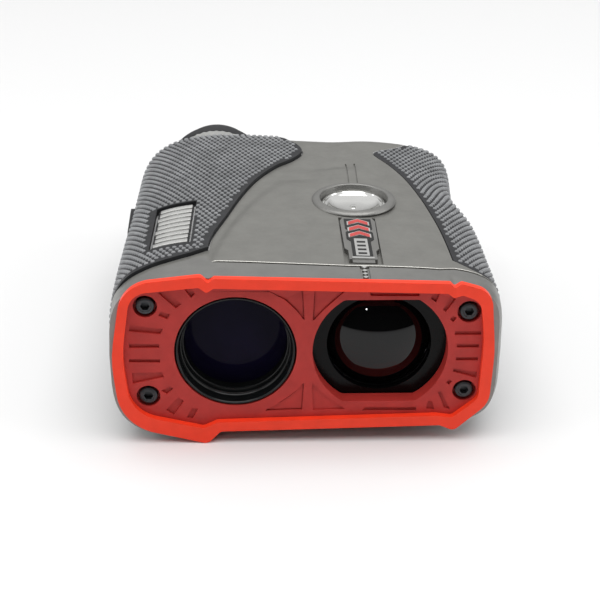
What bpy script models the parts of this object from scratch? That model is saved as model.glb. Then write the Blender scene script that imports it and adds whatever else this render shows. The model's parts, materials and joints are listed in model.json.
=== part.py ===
"""Laser rangefinder, monocular type, lying on its right side.

World frame, millimetres in the constants and metres in the scene: +Z up, the
optical axis runs along Y with the objective end at -Y, the device's top face
is at -X and its battery side at +X. The origin is the middle of the bounding
box's bottom face, on the plane the device rests on.
"""

import math

import bmesh
import bpy
from mathutils import Matrix, Vector

MM = 0.001

# ---------------------------------------------------------------- dimensions
LENGTH = 108.0              # objective rim to eyecup, along Y
Y_FRONT = -54.0             # front plane of the rim
Y_PLATE = -52.5             # front plane of the face plate
Z_MID = 20.1                # parting plane of the two housing halves
AXIS_Z = 20.6               # height of both optical axes
OBJ_X = -14.7               # objective axis
EYE_X = -19.6               # eyepiece axis, moved sideways by the prism
REC_X = 14.9                # receiver axis
GAP = 0.3                   # clearance between touching pieces

WALL = 2.0                  # housing wall
GRIP_T = 1.5                # depth of the grip pockets
SPLIT = 0.15                # half of the parting gap

# outline of the body in plan: station y -> side x
LEFT_SIDE = [(-53, -40.3), (-44, -40.9), (-34, -41.1), (-24, -40.9), (-12, -40.4),
             (-2, -39.8), (8, -39.4), (19, -38.8), (30, -38.4), (40, -38.2)]
RIGHT_SIDE = [(-53, 38.9), (-50, 40.0), (-44, 40.6), (-34, 41.2), (-24, 41.3), (-12, 41.0),
              (-6, 40.0), (-1, 38.8), (4, 37.9), (9, 37.2), (14, 37.3), (20, 37.6),
              (27, 37.9), (33, 37.6), (40, 37.4)]
# edge of each grip on the side faces: station y -> x
LEFT_GRIP = [(-50, -20.4), (-37.4, -20.3), (-20, -16.3), (-2.3, -10.9), (8.2, -5.5),
             (13.4, -1.2), (17.0, 0.7), (19.2, 1.2), (22.5, 0.4), (26, -1.8), (36, -8.0)]
RIGHT_GRIP = [(-50, 31.0), (-41, 30.6), (-28.5, 29.9), (-12.5, 27.9), (1, 25.2),
              (6.2, 23.5), (11, 21.5), (16, 19.0), (18.2, 18.3), (20.2, 19.4), (22.5, 22.6),
              (25.5, 25.6), (36, 29.0)]
# plan line of the seam between collar and housing, and of the grips' front edges
SEAM = [(-44, -48.2), (-34, -47.1), (-28, -45.1), (-24, -43.4), (-21, -42.4),
        (-19.2, -45.6), (9, -46.7), (27, -46.5), (30, -45.4), (44, -45.5)]
GRIP_FRONT = [(-44, -44.2), (-34, -43.4), (-28, -41.8), (-24, -40.2), (-20, -37.7),
              (29, -39.6), (32, -42.0), (34, -43.4), (36, -44.3), (44, -44.6)]

TOP_H = 17.8                # parting plane to side face, left of the middle
WEDGE = 0.03                # the body thins towards the battery side
BOT_H = 17.5
LOBE_L = 20.4               # depth of the grip lobes below the parting plane
N_LEFT, N_RIGHT = 4.6, 5.4  # fullness of the section's corners
# draft of the side walls towards the side faces: station y -> share of the half width
DRAFT_L = [(-53, 0.02), (-44, 0.05), (-34, 0.085), (-18, 0.11), (25, 0.11), (40, 0.11)]
DRAFT_R = [(-53, 0.0), (-46, 0.015), (-38, 0.055), (-28, 0.085), (-12, 0.10), (3, 0.10), (14, 0.05), (40, 0.03)]

LOBE_END = -30              # behind this the grips alone form the lobes
S_REAR, S_ROUND = 34.5, 25.5        # rear face, start of its rounding
REAR_IN_L, REAR_IN_R, REAR_IN_Z = 10.0, 7.0, 6.0
REAR_SLANT = 0.06

BORE_OBJ = 12.5             # radius of the objective hole in the face plate
REC_R, REC_FLAT = 13.9, 11.7
SCREWS = [(-32.8, 31.1), (-32.7, 10.5), (32.7, 29.5), (32.6, 11.3)]
SCREW_HEAD_R, SCREW_BORE_R, SCREW_SHANK_R = 1.9, 2.45, 1.0

MODE_X, MODE_Y = 11.6, -12.2
MODE_RING_R, MODE_HOLE_R = 9.35, 7.5
MODE_TRAVEL = 0.6
FIRE_Y, FIRE_L, FIRE_W = 4.0, 22.0, 11.0
FIRE_TRAVEL = 1.0
BAT_X, BAT_Z = 19.5, 20.1   # battery axis
BAT_R, BAT_L = 7.8, 27.0
CAP_R = 10.4


# ------------------------------------------------------------------- scene
for old in list(bpy.data.objects):
    bpy.data.objects.remove(old, do_unlink=True)

PARTS = bpy.data.collections.new("laser_rangefinder")
bpy.context.scene.collection.children.link(PARTS)
CUTTERS = bpy.data.collections.new("cutters")
bpy.context.scene.collection.children.link(CUTTERS)
CUTTERS.hide_render = True


def material(name, color, rough, metal=0.0):
    mat = bpy.data.materials.new(name)
    mat.use_nodes = True
    shader = mat.node_tree.nodes["Principled BSDF"]
    shader.inputs["Base Color"].default_value = (*color, 1.0)
    shader.inputs["Roughness"].default_value = rough
    shader.inputs["Metallic"].default_value = metal
    mat.diffuse_color = (*color, 1.0)
    return mat


GUNMETAL = material("gunmetal", (0.20, 0.20, 0.19), 0.42, 0.6)
RED = material("red_rim", (0.86, 0.06, 0.03), 0.38)
RED_DULL = material("red_plate", (0.40, 0.03, 0.035), 0.55)
GRIP = material("grip_rubber", (0.035, 0.037, 0.042), 0.75)
BLACK = material("black_plastic", (0.012, 0.012, 0.013), 0.45)
BLACK_METAL = material("black_metal", (0.02, 0.02, 0.022), 0.35, 0.7)
CHROME = material("chrome", (0.75, 0.75, 0.74), 0.12, 1.0)
STEEL = material("steel", (0.55, 0.55, 0.56), 0.3, 1.0)
BRASS = material("brass", (0.62, 0.45, 0.20), 0.35, 1.0)
GLASS = material("coated_glass", (0.02, 0.015, 0.05), 0.04)
GLASS_CLEAR = material("prism_glass", (0.70, 0.75, 0.78), 0.03)
RUBBER = material("soft_rubber", (0.02, 0.02, 0.022), 0.7)
BOARD = material("circuit_board", (0.01, 0.14, 0.05), 0.5)
CELL = material("cell_wrap", (0.05, 0.06, 0.09), 0.3)


def link(obj, mat=None, cutter=False):
    (CUTTERS if cutter else PARTS).objects.link(obj)
    if cutter:
        obj.hide_render = True
        obj.display_type = "WIRE"
    elif mat:
        obj.data.materials.append(mat)
    return obj


def from_bmesh(name, bm, mat, cutter=False, smooth=None):
    bmesh.ops.recalc_face_normals(bm, faces=bm.faces)
    mesh = bpy.data.meshes.new(name)
    bm.to_mesh(mesh)
    bm.free()
    if smooth:
        mesh.shade_smooth()
        mesh.set_sharp_from_angle(angle=math.radians(smooth))
    return link(bpy.data.objects.new(name, mesh), mat, cutter)


# ---------------------------------------------------------------- builders
def lerp_table(table, u):
    """Smooth monotone curve through the stations of a table."""
    if u <= table[0][0]:
        return table[0][1]
    if u >= table[-1][0]:
        return table[-1][1]
    k = max(i for i in range(len(table)) if table[i][0] <= u)
    k = min(k, len(table) - 2)
    slope = [(table[i + 1][1] - table[i][1]) / (table[i + 1][0] - table[i][0])
             for i in range(len(table) - 1)]

    def tangent(i):
        if i in (0, len(table) - 1):
            return slope[min(i, len(slope) - 1)]
        a, b = slope[i - 1], slope[i]
        return 0.0 if a * b <= 0 else 2 * a * b / (a + b)

    (x0, y0), (x1, y1) = table[k], table[k + 1]
    h = x1 - x0
    t = (u - x0) / h
    m0, m1 = tangent(k) * h, tangent(k + 1) * h
    return ((2 * t**3 - 3 * t**2 + 1) * y0 + (t**3 - 2 * t**2 + t) * m0
            + (-2 * t**3 + 3 * t**2) * y1 + (t**3 - t**2) * m1)


def linear_table(table, u):
    if u <= table[0][0]:
        return table[0][1]
    for (x0, y0), (x1, y1) in zip(table, table[1:]):
        if u <= x1:
            return y0 + (y1 - y0) * (u - x0) / (x1 - x0)
    return table[-1][1]


def rounded(corners, step=26.0):
    """Closed outline of a polygon whose corners (u, v, radius) are filleted."""
    out = []
    for i, (x, y, r) in enumerate(corners):
        p = Vector((x, y))
        a = (Vector(corners[i - 1][:2]) - p).normalized()
        b = (Vector(corners[(i + 1) % len(corners)][:2]) - p).normalized()
        half = math.acos(max(-1, min(1, a.dot(b)))) / 2
        if r <= 0 or half > math.radians(89.5):
            out.append((x, y))
            continue
        back = r / math.tan(half)
        centre = p + (a + b).normalized() * (r / math.sin(half))
        start, end = p + a * back - centre, p + b * back - centre
        turn = start.angle_signed(end) if hasattr(start, "angle_signed") else 0
        turn = -turn
        n = max(2, int(abs(math.degrees(turn)) / step) + 1)
        for k in range(n + 1):
            ang = turn * k / n
            v = Vector((start.x * math.cos(ang) - start.y * math.sin(ang),
                        start.x * math.sin(ang) + start.y * math.cos(ang)))
            out.append((centre.x + v.x, centre.y + v.y))
    clean = []
    for pt in out:
        if not clean or math.dist(pt, clean[-1]) > 0.02:
            clean.append(pt)
    if math.dist(clean[0], clean[-1]) < 0.02:
        clean.pop()
    return clean


def circle(cx, cy, r, n=40, phase=0.0):
    return [(cx + r * math.cos(2 * math.pi * (k + phase) / n),
             cy + r * math.sin(2 * math.pi * (k + phase) / n)) for k in range(n)]


def grow(outline, d):
    """Outline moved outwards by d along its normals."""
    n = len(outline)
    area = sum(outline[i - 1][0] * outline[i][1] - outline[i][0] * outline[i - 1][1]
               for i in range(n))
    sign = 1 if area > 0 else -1
    out = []
    for i in range(n):
        a, b, c = outline[i - 1], outline[i], outline[(i + 1) % n]
        t = Vector((c[0] - a[0], c[1] - a[1])).normalized()
        out.append((b[0] + sign * t.y * d, b[1] - sign * t.x * d))
    return out


def plate(name, outlines, depth, mat, place, cutter=False, bevel=0.0, segments=2, smooth=None):
    """Flat outline with holes, extruded by depth along its own +Z, made with a 2D curve."""
    curve = bpy.data.curves.new(name + "_outline", "CURVE")
    curve.dimensions = "2D"
    curve.fill_mode = "BOTH"
    curve.extrude = depth * MM / 2
    for outline in outlines:
        spline = curve.splines.new("POLY")
        spline.points.add(len(outline) - 1)
        for point, (u, v) in zip(spline.points, outline):
            point.co = (u * MM, v * MM, 0, 1)
        spline.use_cyclic_u = True
    guide = bpy.data.objects.new(name + "_guide", curve)
    bpy.context.scene.collection.objects.link(guide)
    graph = bpy.context.evaluated_depsgraph_get()
    mesh = bpy.data.meshes.new_from_object(guide.evaluated_get(graph))
    bpy.data.objects.remove(guide)
    bm = bmesh.new()
    bm.from_mesh(mesh)
    bmesh.ops.remove_doubles(bm, verts=bm.verts, dist=1e-6)
    bmesh.ops.translate(bm, verts=bm.verts, vec=(0, 0, depth * MM / 2))
    bpy.data.meshes.remove(mesh)
    obj = from_bmesh(name, bm, mat, cutter, smooth)
    obj.matrix_world = place
    if bevel:
        mod = obj.modifiers.new("edge", "BEVEL")
        mod.width = bevel * MM
        mod.segments = segments
        mod.limit_method = "ANGLE"
        mod.angle_limit = math.radians(50)
    return obj


def facing_front(y):
    """Outlines (x, z) become faces in a plane of constant y; depth runs to +Y."""
    return Matrix(((1, 0, 0, 0), (0, 0, 1, y * MM), (0, 1, 0, 0), (0, 0, 0, 1)))


def facing_up(z):
    return Matrix.Translation((0, 0, z * MM))


def facing_side(x):
    """Outlines (y, z) in a plane of constant x; depth runs to +X."""
    return Matrix(((0, 0, 1, x * MM), (1, 0, 0, 0), (0, 1, 0, 0), (0, 0, 0, 1)))


ALONG_Y = Matrix(((1, 0, 0, 0), (0, 0, 1, 0), (0, -1, 0, 0), (0, 0, 0, 1)))
ALONG_X = Matrix(((0, 0, 1, 0), (0, 1, 0, 0), (-1, 0, 0, 0), (0, 0, 0, 1)))


def turned(name, profile, mat, centre, axis="Y", steps=24, cutter=False, smooth=35):
    """Body turned about an axis from a profile of (radius, station).

    The profile runs from its highest station down the outer side. It starts
    and ends on the axis, or it is closed and makes a ring.
    """
    bm = bmesh.new()
    verts = [bm.verts.new((r * MM, 0, h * MM)) for r, h in profile]
    ring = profile[0][0] > 0.001
    for a, b in zip(verts, verts[1:]):
        bm.edges.new((a, b))
    if ring:
        bm.edges.new((verts[-1], verts[0]))
    mesh = bpy.data.meshes.new(name)
    bm.to_mesh(mesh)
    bm.free()
    obj = link(bpy.data.objects.new(name, mesh), mat, cutter)
    turn = obj.modifiers.new("turn", "SCREW")
    turn.axis = "Z"
    turn.steps = turn.render_steps = steps
    turn.use_merge_vertices = True
    turn.merge_threshold = 0.00001
    turn.use_smooth_shade = False
    turning = {"Y": ALONG_Y, "X": ALONG_X, "Z": Matrix.Identity(4)}[axis]
    obj.matrix_world = Matrix.Translation(Vector(centre) * MM) @ turning
    return obj


def box(name, lo, hi, mat, cutter=False, bevel=0.0, segments=2):
    bm = bmesh.new()
    bmesh.ops.create_cube(bm, size=1.0)
    size = [(h - l) * MM for l, h in zip(lo, hi)]
    bmesh.ops.scale(bm, verts=bm.verts, vec=size)
    obj = from_bmesh(name, bm, mat, cutter)
    obj.location = [(h + l) / 2 * MM for l, h in zip(lo, hi)]
    if bevel:
        mod = obj.modifiers.new("edge", "BEVEL")
        mod.width = bevel * MM
        mod.segments = segments
        mod.limit_method = "ANGLE"
    return obj


def cut(obj, *cutters, operation="DIFFERENCE"):
    for cutter in cutters:
        mod = obj.modifiers.new("cut_" + cutter.name[:40], "BOOLEAN")
        mod.operation = operation
        # EXACT drops the close-set cuts of the thin housing halves
        mod.solver = "MANIFOLD" if obj.name.startswith("housing") and cutter.name != "plate_room" else "EXACT"
        mod.object = cutter
    return obj


def join(obj, *others):
    return cut(obj, *others, operation="UNION")


def loft(name, rings, mat, cutter=False, smooth=None):
    """Solid through closed rings of points, capped at both ends."""
    bm = bmesh.new()
    rows = [[bm.verts.new(Vector(p) * MM) for p in ring] for ring in rings]
    n = len(rings[0])
    for a, b in zip(rows, rows[1:]):
        for i in range(n):
            bm.faces.new((a[i], a[(i + 1) % n], b[(i + 1) % n], b[i]))
    bm.faces.new(list(reversed(rows[0])))
    bm.faces.new(rows[-1])
    return from_bmesh(name, bm, mat, cutter, smooth)


def tube_loft(name, outer, inner, mat, cutter=False, smooth=None):
    """Ring-shaped solid between outer and inner rings of equal counts."""
    bm = bmesh.new()
    out = [[bm.verts.new(Vector(p) * MM) for p in ring] for ring in outer]
    inn = [[bm.verts.new(Vector(p) * MM) for p in ring] for ring in inner]
    n = len(outer[0])
    for i in range(n):
        j = (i + 1) % n
        for rows in (out, inn):
            for a, b in zip(rows, rows[1:]):
                bm.faces.new((a[i], a[j], b[j], b[i]))
        bm.faces.new((out[0][i], out[0][j], inn[0][j], inn[0][i]))
        bm.faces.new((out[-1][i], out[-1][j], inn[-1][j], inn[-1][i]))
    return from_bmesh(name, bm, mat, cutter, smooth)


# ------------------------------------------------------------ body section
def rear_u(s):
    u = (s - S_ROUND) / (S_REAR - S_ROUND)
    return 1 - math.sqrt(max(0.0, 1 - max(0.0, min(1.0, u)) ** 2))


def sides(s):
    k = rear_u(s)
    return (lerp_table(LEFT_SIDE, s) + REAR_IN_L * k,
            lerp_table(RIGHT_SIDE, s) - REAR_IN_R * k)


def lobe_right(s):
    return linear_table([(-53, 17.3), (-46, 17.8), (-10, 20.4), (40, 20.4)], s)


def height(x, s, up, zone):
    """Distance of the side face from the parting plane."""
    k = REAR_IN_Z * rear_u(s)
    thin = WEDGE * (max(-19.0, min(30.0, x)) + 19.0)
    if up:
        return TOP_H - thin - k
    if zone < 0:
        return LOBE_L - k
    if zone > 0:
        return lobe_right(s) - k
    return BOT_H - thin * 0.85 - k


def draft(x, s):
    return linear_table(DRAFT_R if x > 0 else DRAFT_L, s)


def across(x, s, off):
    """Fullness, and shares of the half width and of the height, where the section passes over x."""
    left, right = sides(s)
    n = N_RIGHT if x > 0 else N_LEFT
    half = (right - off) if x > 0 else (-left - off)
    up = 1.0
    for _ in range(12):
        out = min(0.999, abs(x) / (half * (1 - draft(x, s) * up ** 1.5)))
        up = (1 - out ** n) ** (1 / n)
    return n, out, up


def section_point(t, s, off, zone, y):
    """Point of the section at angle t, at station s, moved inwards by off."""
    left, right = sides(s)
    c, sn = math.cos(t), math.sin(t)
    n = N_RIGHT if c > 0 else N_LEFT
    half = (right - off) if c > 0 else (-left - off)
    x = math.copysign(half * abs(c) ** (2 / n) * (1 - draft(c, s) * abs(sn) ** (3 / n)), c)
    h = height(x, s, sn > 0, zone) - off
    z = Z_MID + math.copysign(h * abs(sn) ** (2 / n), sn)
    return (x, y(x, s), max(z, 0.0 if off <= 0 else z))


def angle_at(x, s, off):
    """Angle on the upper half at which the section passes over x."""
    n, out, up = across(x, s, off)
    return math.acos(math.copysign(out ** (n / 2), x))


def slant(x, s):
    """Plan shape of a station: straight in the middle, slanted at the rear."""
    fade = max(0.0, min(1.0, (s - 5) / 25))
    return s - REAR_SLANT * (x + 15) * fade * fade


def spread(a, b, n):
    return [a + (b - a) * k / n for k in range(n + 1)]


def body_angles(s, off=0.0, side=5, mid=8, notch=0.5, shift=0.0):
    """(angle, zone) round the section, with a point each side of each grip edge."""
    gl, gr = lerp_table(LEFT_GRIP, s) + shift, lerp_table(RIGHT_GRIP, s) - shift
    a1, a2 = angle_at(gr + notch, s, off), angle_at(gr - notch, s, off)
    b1, b2 = angle_at(gl + notch, s, off), angle_at(gl - notch, s, off)
    up = ([(t, 1) for t in spread(0, a1, side)] + [(t, 0) for t in spread(a2, b1, mid)]
          + [(t, -1) for t in spread(b2, math.pi, side)])
    down = [(2 * math.pi - t, zone) for t, zone in reversed(up)][1:-1]
    return up, down


STATIONS = [-50, -38, -26, -14, -3, 6, 12.5, 17, 21, 25.5, 29, 31.8, 33.6, 34.5]


def body_rings(off, stations=STATIONS, side=4, mid=6, sunk=0.0, shift=0.0):
    """Rings of the body; its grip zones lie sunk deeper than its side panels."""
    rings = []
    for s in stations:
        up, down = body_angles(s, off, side, mid, shift=shift)
        lobed = 1 if s < LOBE_END and off < WALL else 0
        rings.append([section_point(t, s, off + (sunk if zone else 0.0), zone * lobed, slant)
                      for t, zone in up + down])
    return rings


def surface_z(x, s, off=0.0, up=True, zone=0):
    n, out, k = across(x, s, off)
    h = (height(x, s, up, zone) - off) * k
    return Z_MID + h if up else Z_MID - h


def patch(name, edges, stations, top, bottom, mat, cutter=False, cross=4):
    """Plate that follows the upper side face between two plan edges."""
    upper, lower = [], []
    for s in stations:
        a, b = edges(s)
        xs = spread(a, b, cross)
        upper.append([(x, s, surface_z(x, s) + top) for x in xs])
        lower.append([(x, s, surface_z(x, s) + bottom) for x in xs])
    rings = [u + list(reversed(l)) for u, l in zip(upper, lower)]
    return loft(name, rings, mat, cutter)


# --------------------------------------------------------------- housing
GRIP_END = 32.6
GRIP_STATIONS = [-48.5, -36.3, -24.7, -12.4, -1.2, 7.3, 13.4, 16.1, 19.6, 23.2, 27.3, 30.4]


def half_space(name, low):
    if low:
        return box(name, (-60, -70, -5), (60, 60, Z_MID - SPLIT), None, cutter=True)
    return box(name, (-60, -70, Z_MID + SPLIT), (60, 60, 50), None, cutter=True)


def ahead_of(name, table, shift):
    """Cutter for everything in front of a plan line."""
    line = [(x, linear_table(table, x) + shift) for x in [p[0] for p in table]]
    outline = [(-60, -75)] + [(60, -75)] + [(60, line[-1][1])] + line[::-1] + [(-60, line[0][1])]
    return plate(name, [outline], 70, None, facing_up(-10), cutter=True)


seam_cut = ahead_of("seam_cut", SEAM, SPLIT)
grip_cut = ahead_of("grip_cut", GRIP_FRONT, 0.0)
pocket_cut = ahead_of("pocket_cut", GRIP_FRONT, -GAP)

CAVITY_STATIONS = [-60, -38, -26, -14, -3, 6, 12.5, 18, 25.5, 29, 31.8]
cavity = loft("cavity", body_rings(WALL, CAVITY_STATIONS, 3, 4, sunk=GRIP_T, shift=3.2),
              None, cutter=True)


def flat_angle(side):
    """Angle at which a grip's underside runs out onto the flat that it rests on."""
    n = N_LEFT if side < 0 else N_RIGHT
    t = math.asin((Z_MID / LOBE_L) ** (n / 2))
    return math.pi - t if side < 0 else t


def grip_rings(side, inner, outer, edge, last):
    """Rings of the strip that wraps round one side of the body."""
    table = LEFT_GRIP if side < 0 else RIGHT_GRIP
    rings = []
    for s in GRIP_STATIONS + [last]:
        gx = lerp_table(table, s) + side * edge
        loops = []
        for off, bent in ((outer, False), (inner, True)):
            a = angle_at(gx, s, off)
            stop = math.pi if side < 0 else 0.0
            flat = flat_angle(side)
            b = max(a + 0.02, flat) if side < 0 else min(a - 0.02, flat)
            half = [a] + spread(b, stop, 4)
            ts = half + [2 * stop - t for t in reversed(half[:-1])]
            row = [section_point(t, s, off, 0 if bent else side, slant) for t in ts]
            loops.append(list(reversed(row)) if bent else row)
        rings.append(loops[0] + loops[1])
    return rings


pocket_left = loft("pocket_left", grip_rings(-1, GRIP_T, -3.0, -GAP, GRIP_END + GAP), None, cutter=True)
pocket_right = loft("pocket_right", grip_rings(1, GRIP_T, -3.0, -GAP, GRIP_END + GAP), None, cutter=True)
cut(pocket_left, pocket_cut)
cut(pocket_right, pocket_cut)

eye_bore = turned("eye_bore", [(0, 45), (11.6, 45), (11.6, 20), (0, 20)], None,
                  (EYE_X, 0, AXIS_Z), cutter=True)
eye_room = turned("eye_room", [(0, 45), (13.8, 45), (13.8, 20), (0, 20)], None,
                  (EYE_X, 0, AXIS_Z), cutter=True, steps=24)
battery_room = turned("battery_room", [(0, 45), (12.1, 45), (12.1, 20), (0, 20)], None,
                      (BAT_X, 0, BAT_Z), cutter=True, steps=24)
battery_bore = turned("battery_bore", [(0, 45), (10.3, 45), (10.3, -4), (0, -4)], None,
                      (BAT_X, 0, BAT_Z), cutter=True)
mode_bore = turned("mode_bore", [(0, 45), (8.9, 45), (8.9, 30), (0, 30)], None,
                   (MODE_X, MODE_Y, 0), axis="Z", cutter=True)


def stadium(cy, cz, length, width, n=10):
    r = width / 2
    out = []
    for k in range(n + 1):
        a = -math.pi / 2 + math.pi * k / n
        out.append((cy + length / 2 - r + r * math.cos(a), cz + r * math.sin(a)))
    for k in range(n + 1):
        a = math.pi / 2 + math.pi * k / n
        out.append((cy - length / 2 + r + r * math.cos(a), cz + r * math.sin(a)))
    return out


fire_hole = plate("fire_hole", [stadium(FIRE_Y, Z_MID, FIRE_L + 0.6, FIRE_W + 0.6)], 12, None,
                  facing_side(-46), cutter=True)
fire_room = plate("fire_room", [stadium(FIRE_Y, Z_MID, FIRE_L + 3.4, FIRE_W + 3.0)], 4, None,
                  facing_side(-36.4), cutter=True)
side_plate_pocket = patch("side_plate_pocket", lambda s: (7.6, 15.6), [-45.4, -36, -29, -21.7], 3.0, -0.9,
                     None, cutter=True)
grip_plate_pocket = patch("grip_plate_pocket", lambda s: (-32.8 + (s + 34) * 0.035, -24.0 + (s + 34) * 0.035),
                     [-34.8, -28, -20, -12.6], 3.0, -0.75, None, cutter=True)


EYE_BOSS_Y, BAT_BOSS_Y = 36.2, 34.0
eye_boss = turned("eye_boss", [(0, EYE_BOSS_Y), (13.4, EYE_BOSS_Y), (13.4, 24), (0, 24)], None,
                  (EYE_X, 0, AXIS_Z), cutter=True, steps=24)
battery_boss = turned("battery_boss", [(0, BAT_BOSS_Y), (11.7, BAT_BOSS_Y), (11.7, 24), (0, 24)], None,
                      (BAT_X, 0, BAT_Z), cutter=True, steps=24)


def housing(name, low):
    shell = loft(name, body_rings(0.0), GUNMETAL, smooth=40)
    join(shell, eye_boss, battery_boss)
    cut(shell, half_space(name + "_half", low), operation="INTERSECT")
    cut(shell, seam_cut, cavity, pocket_left, pocket_right, eye_bore, battery_bore, fire_hole, fire_room)
    return shell


housing_left = housing("housing_left", False)
cut(housing_left, mode_bore, side_plate_pocket)
housing_right = housing("housing_right", True)

grip_top = loft("grip_top", grip_rings(-1, GRIP_T - GAP, 0.0, 0.0, GRIP_END), GRIP, smooth=40)
cut(grip_top, grip_cut, fire_hole, eye_room, grip_plate_pocket)
grip_bottom = loft("grip_bottom", grip_rings(1, GRIP_T - GAP, 0.0, 0.0, GRIP_END), GRIP, smooth=40)
cut(grip_bottom, grip_cut, battery_room)


# ------------------------------------------------------------ front group
front_collar = tube_loft("front_collar", body_rings(0.0, [-52.6, -50, -45, -38]),
                         body_rings(1.35, [-52.6, -50, -45, -38]), GUNMETAL, smooth=40)
line = [(x, linear_table(SEAM, x) - SPLIT) for x in [p[0] for p in SEAM]]
cut(front_collar, plate("behind_seam", [[(-60, line[0][1])] + line + [(60, line[-1][1]), (60, 0), (-60, 0)]],
                        70, None, facing_up(-10), cutter=True))

RIM_OUT = rounded([(-20.6, -0.17, 1.6), (-38.3, 4.3, 10.0), (-40.0, 19.6, 30.0), (-37.4, 36.5, 7.5),
                   (-21.55, 38.35, 1.2), (-20.1, 36.9, 0.5), (-18.9, 37.9, 0.7), (28.4, 36.5, 0.7),
                   (29.3, 35.5, 0.5), (30.6, 36.5, 0.9), (36.9, 34.6, 4.5), (38.2, 21.0, 40.0),
                   (37.7, 9.0, 5.5), (30.7, 2.5, 1.5), (27.7, 3.8, 1.0), (-17.9, 2.7, 1.2)])
RIM_IN = rounded([(-21.4, 3.5, 1.2), (-36.2, 7.0, 7.5), (-37.7, 20.5, 30.0), (-35.7, 34.5, 4.2),
                  (-21.9, 35.9, 1.0), (-20.4, 34.7, 0.6), (-19.0, 35.7, 0.8), (28.0, 34.3, 0.8),
                  (29.2, 33.3, 0.6), (31.0, 33.9, 1.2), (34.7, 32.4, 3.2), (35.9, 24.0, 40.0),
                  (35.4, 10.0, 3.5), (30.2, 5.6, 1.5), (27.0, 6.1, 1.0), (-18.5, 4.9, 1.2)])

front_rim = plate("front_rim", [RIM_OUT, RIM_IN], 1.2, RED, facing_front(Y_FRONT), bevel=0.4, segments=1)

plate_room = plate("plate_room", [grow(RIM_IN, 0.78)], 9.4, None, facing_front(-55.5), cutter=True)
cut(front_collar, plate_room)
cut(housing_left, plate_room)
cut(housing_right, plate_room)

opening = circle(REC_X, AXIS_Z, REC_R, 36, 0.5)
opening = [(x, max(AXIS_Z - REC_FLAT, min(AXIS_Z + REC_FLAT, z))) for x, z in opening]
window = []
for p in opening:
    if len(window) > 1 and p[1] == window[-1][1] == window[-2][1]:
        window[-1] = p
    else:
        window.append(p)
face_plate = plate("face_plate",
                   [grow(RIM_IN, 0.45), circle(OBJ_X, AXIS_Z, BORE_OBJ, 32), window]
                   + [circle(x, z, SCREW_SHANK_R + GAP, 8) for x, z in SCREWS],
                   3.3, RED_DULL, facing_front(Y_PLATE))
for i, (x, z) in enumerate(SCREWS):
    sink = turned(f"counterbore_{i + 1}", [(0, -50.6), (SCREW_BORE_R, -50.6), (SCREW_BORE_R, -56), (0, -56)],
                  None, (x, 0, z), cutter=True, steps=14)
    cut(face_plate, sink)
    screw = turned(f"face_screw_{i + 1}",
                   [(0, -46.6), (SCREW_SHANK_R, -46.6), (SCREW_SHANK_R, -50.9), (SCREW_HEAD_R, -50.9),
                    (SCREW_HEAD_R, -52.2), (SCREW_HEAD_R - 0.25, -52.45), (0, -52.45)],
                   BLACK_METAL, (x, 0, z), steps=12)
    hexagon = turned(f"hex_{i + 1}", [(0, -51.3), (0.87, -51.3), (0.87, -53.5), (0, -53.5)], None,
                     (x, 0, z), cutter=True, steps=6)
    cut(screw, hexagon)

MASK = [(0.6, 6.8, 2), (30.6, 7.6, 2), (30.6, 32.8, 2), (0.6, 33.6, 2)]
front_frame = plate("front_frame",
                    [grow(RIM_IN, 0.1), circle(OBJ_X, AXIS_Z, 13.35, 28), grow(rounded(MASK), GAP)]
                    + [circle(x, z, SCREW_SHANK_R + GAP, 8) for x, z in SCREWS],
                    2.4, BLACK, facing_front(-48.9))

# ----------------------------------------------------------- view channel
objective_barrel = turned(
    "objective_barrel",
    [(12.0, -26.0), (13.0, -26.0), (13.0, -48.9), (12.2, -48.9), (12.2, -52.4), (11.8, -52.4),
     (11.4, -51.2), (11.4, -49.8), (11.1, -49.6), (11.1, -48.0), (10.8, -47.8), (10.8, -46.0),
     (12.0, -46.0)],
    BLACK_METAL, (OBJ_X, 0, AXIS_Z), steps=24)


def dome(r, edge, sag, n=4):
    """Stations of a shallow spherical cap of radius r, from edge to centre."""
    big = (r * r + sag * sag) / (2 * abs(sag))
    return [(r * (1 - k / n), edge + math.copysign(math.sqrt(big * big - (r * (1 - k / n)) ** 2)
                                                   - (big - abs(sag)), sag)) for k in range(n + 1)]


objective_lens = turned("objective_lens",
                        [(0, -41.6), (11.7, -41.9), (11.7, -45.6)]
                        + [(min(r, 10.45), h) for r, h in dome(10.45, -45.6, -1.3)],
                        GLASS, (OBJ_X, 0, AXIS_Z), steps=26)
lens_retainer = turned("lens_retainer", [(10.4, -39.2), (11.7, -39.2), (11.7, -41.3), (10.4, -41.3)],
                       BLACK_METAL, (OBJ_X, 0, AXIS_Z), steps=26)

prism_holder = box("prism_holder", (-27.0, -23.0, 8.4), (-3.2, 6.0, 32.4), BLACK, bevel=0.8, segments=1)
cut(prism_holder,
    box("prism_room", (-25.5, -21.0, 10.0), (-4.7, 4.0, 40.0), None, cutter=True),
    turned("prism_light", [(0, -10), (8.0, -10), (8.0, -40), (0, -40)], None, (OBJ_X, 0, AXIS_Z),
           cutter=True, steps=24),
    turned("prism_exit", [(0, 20), (5.5, 20), (5.5, -10), (0, -10)], None, (EYE_X, 0, AXIS_Z),
           cutter=True, steps=24),
    box("laser_slot", (-12.5, -20.3, 12.0), (-1.0, -10.7, 29.0), None, cutter=True))
prism_block = box("prism_block", (-25.1, -20.6, 10.4), (-5.0, -2.0, 30.8), GLASS_CLEAR, bevel=1.6, segments=1)
display_panel = box("display_panel", (-25.0, -1.6, 13.6), (-12.4, -0.4, 27.6), GLASS_CLEAR)
display_frame = box("display_frame", (-25.1, 0.0, 10.4), (-5.1, 1.6, 30.8), BLACK)
cut(display_frame, box("display_view", (-24.0, -3, 15.4), (-14.0, 4, 25.8), None, cutter=True))
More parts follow.
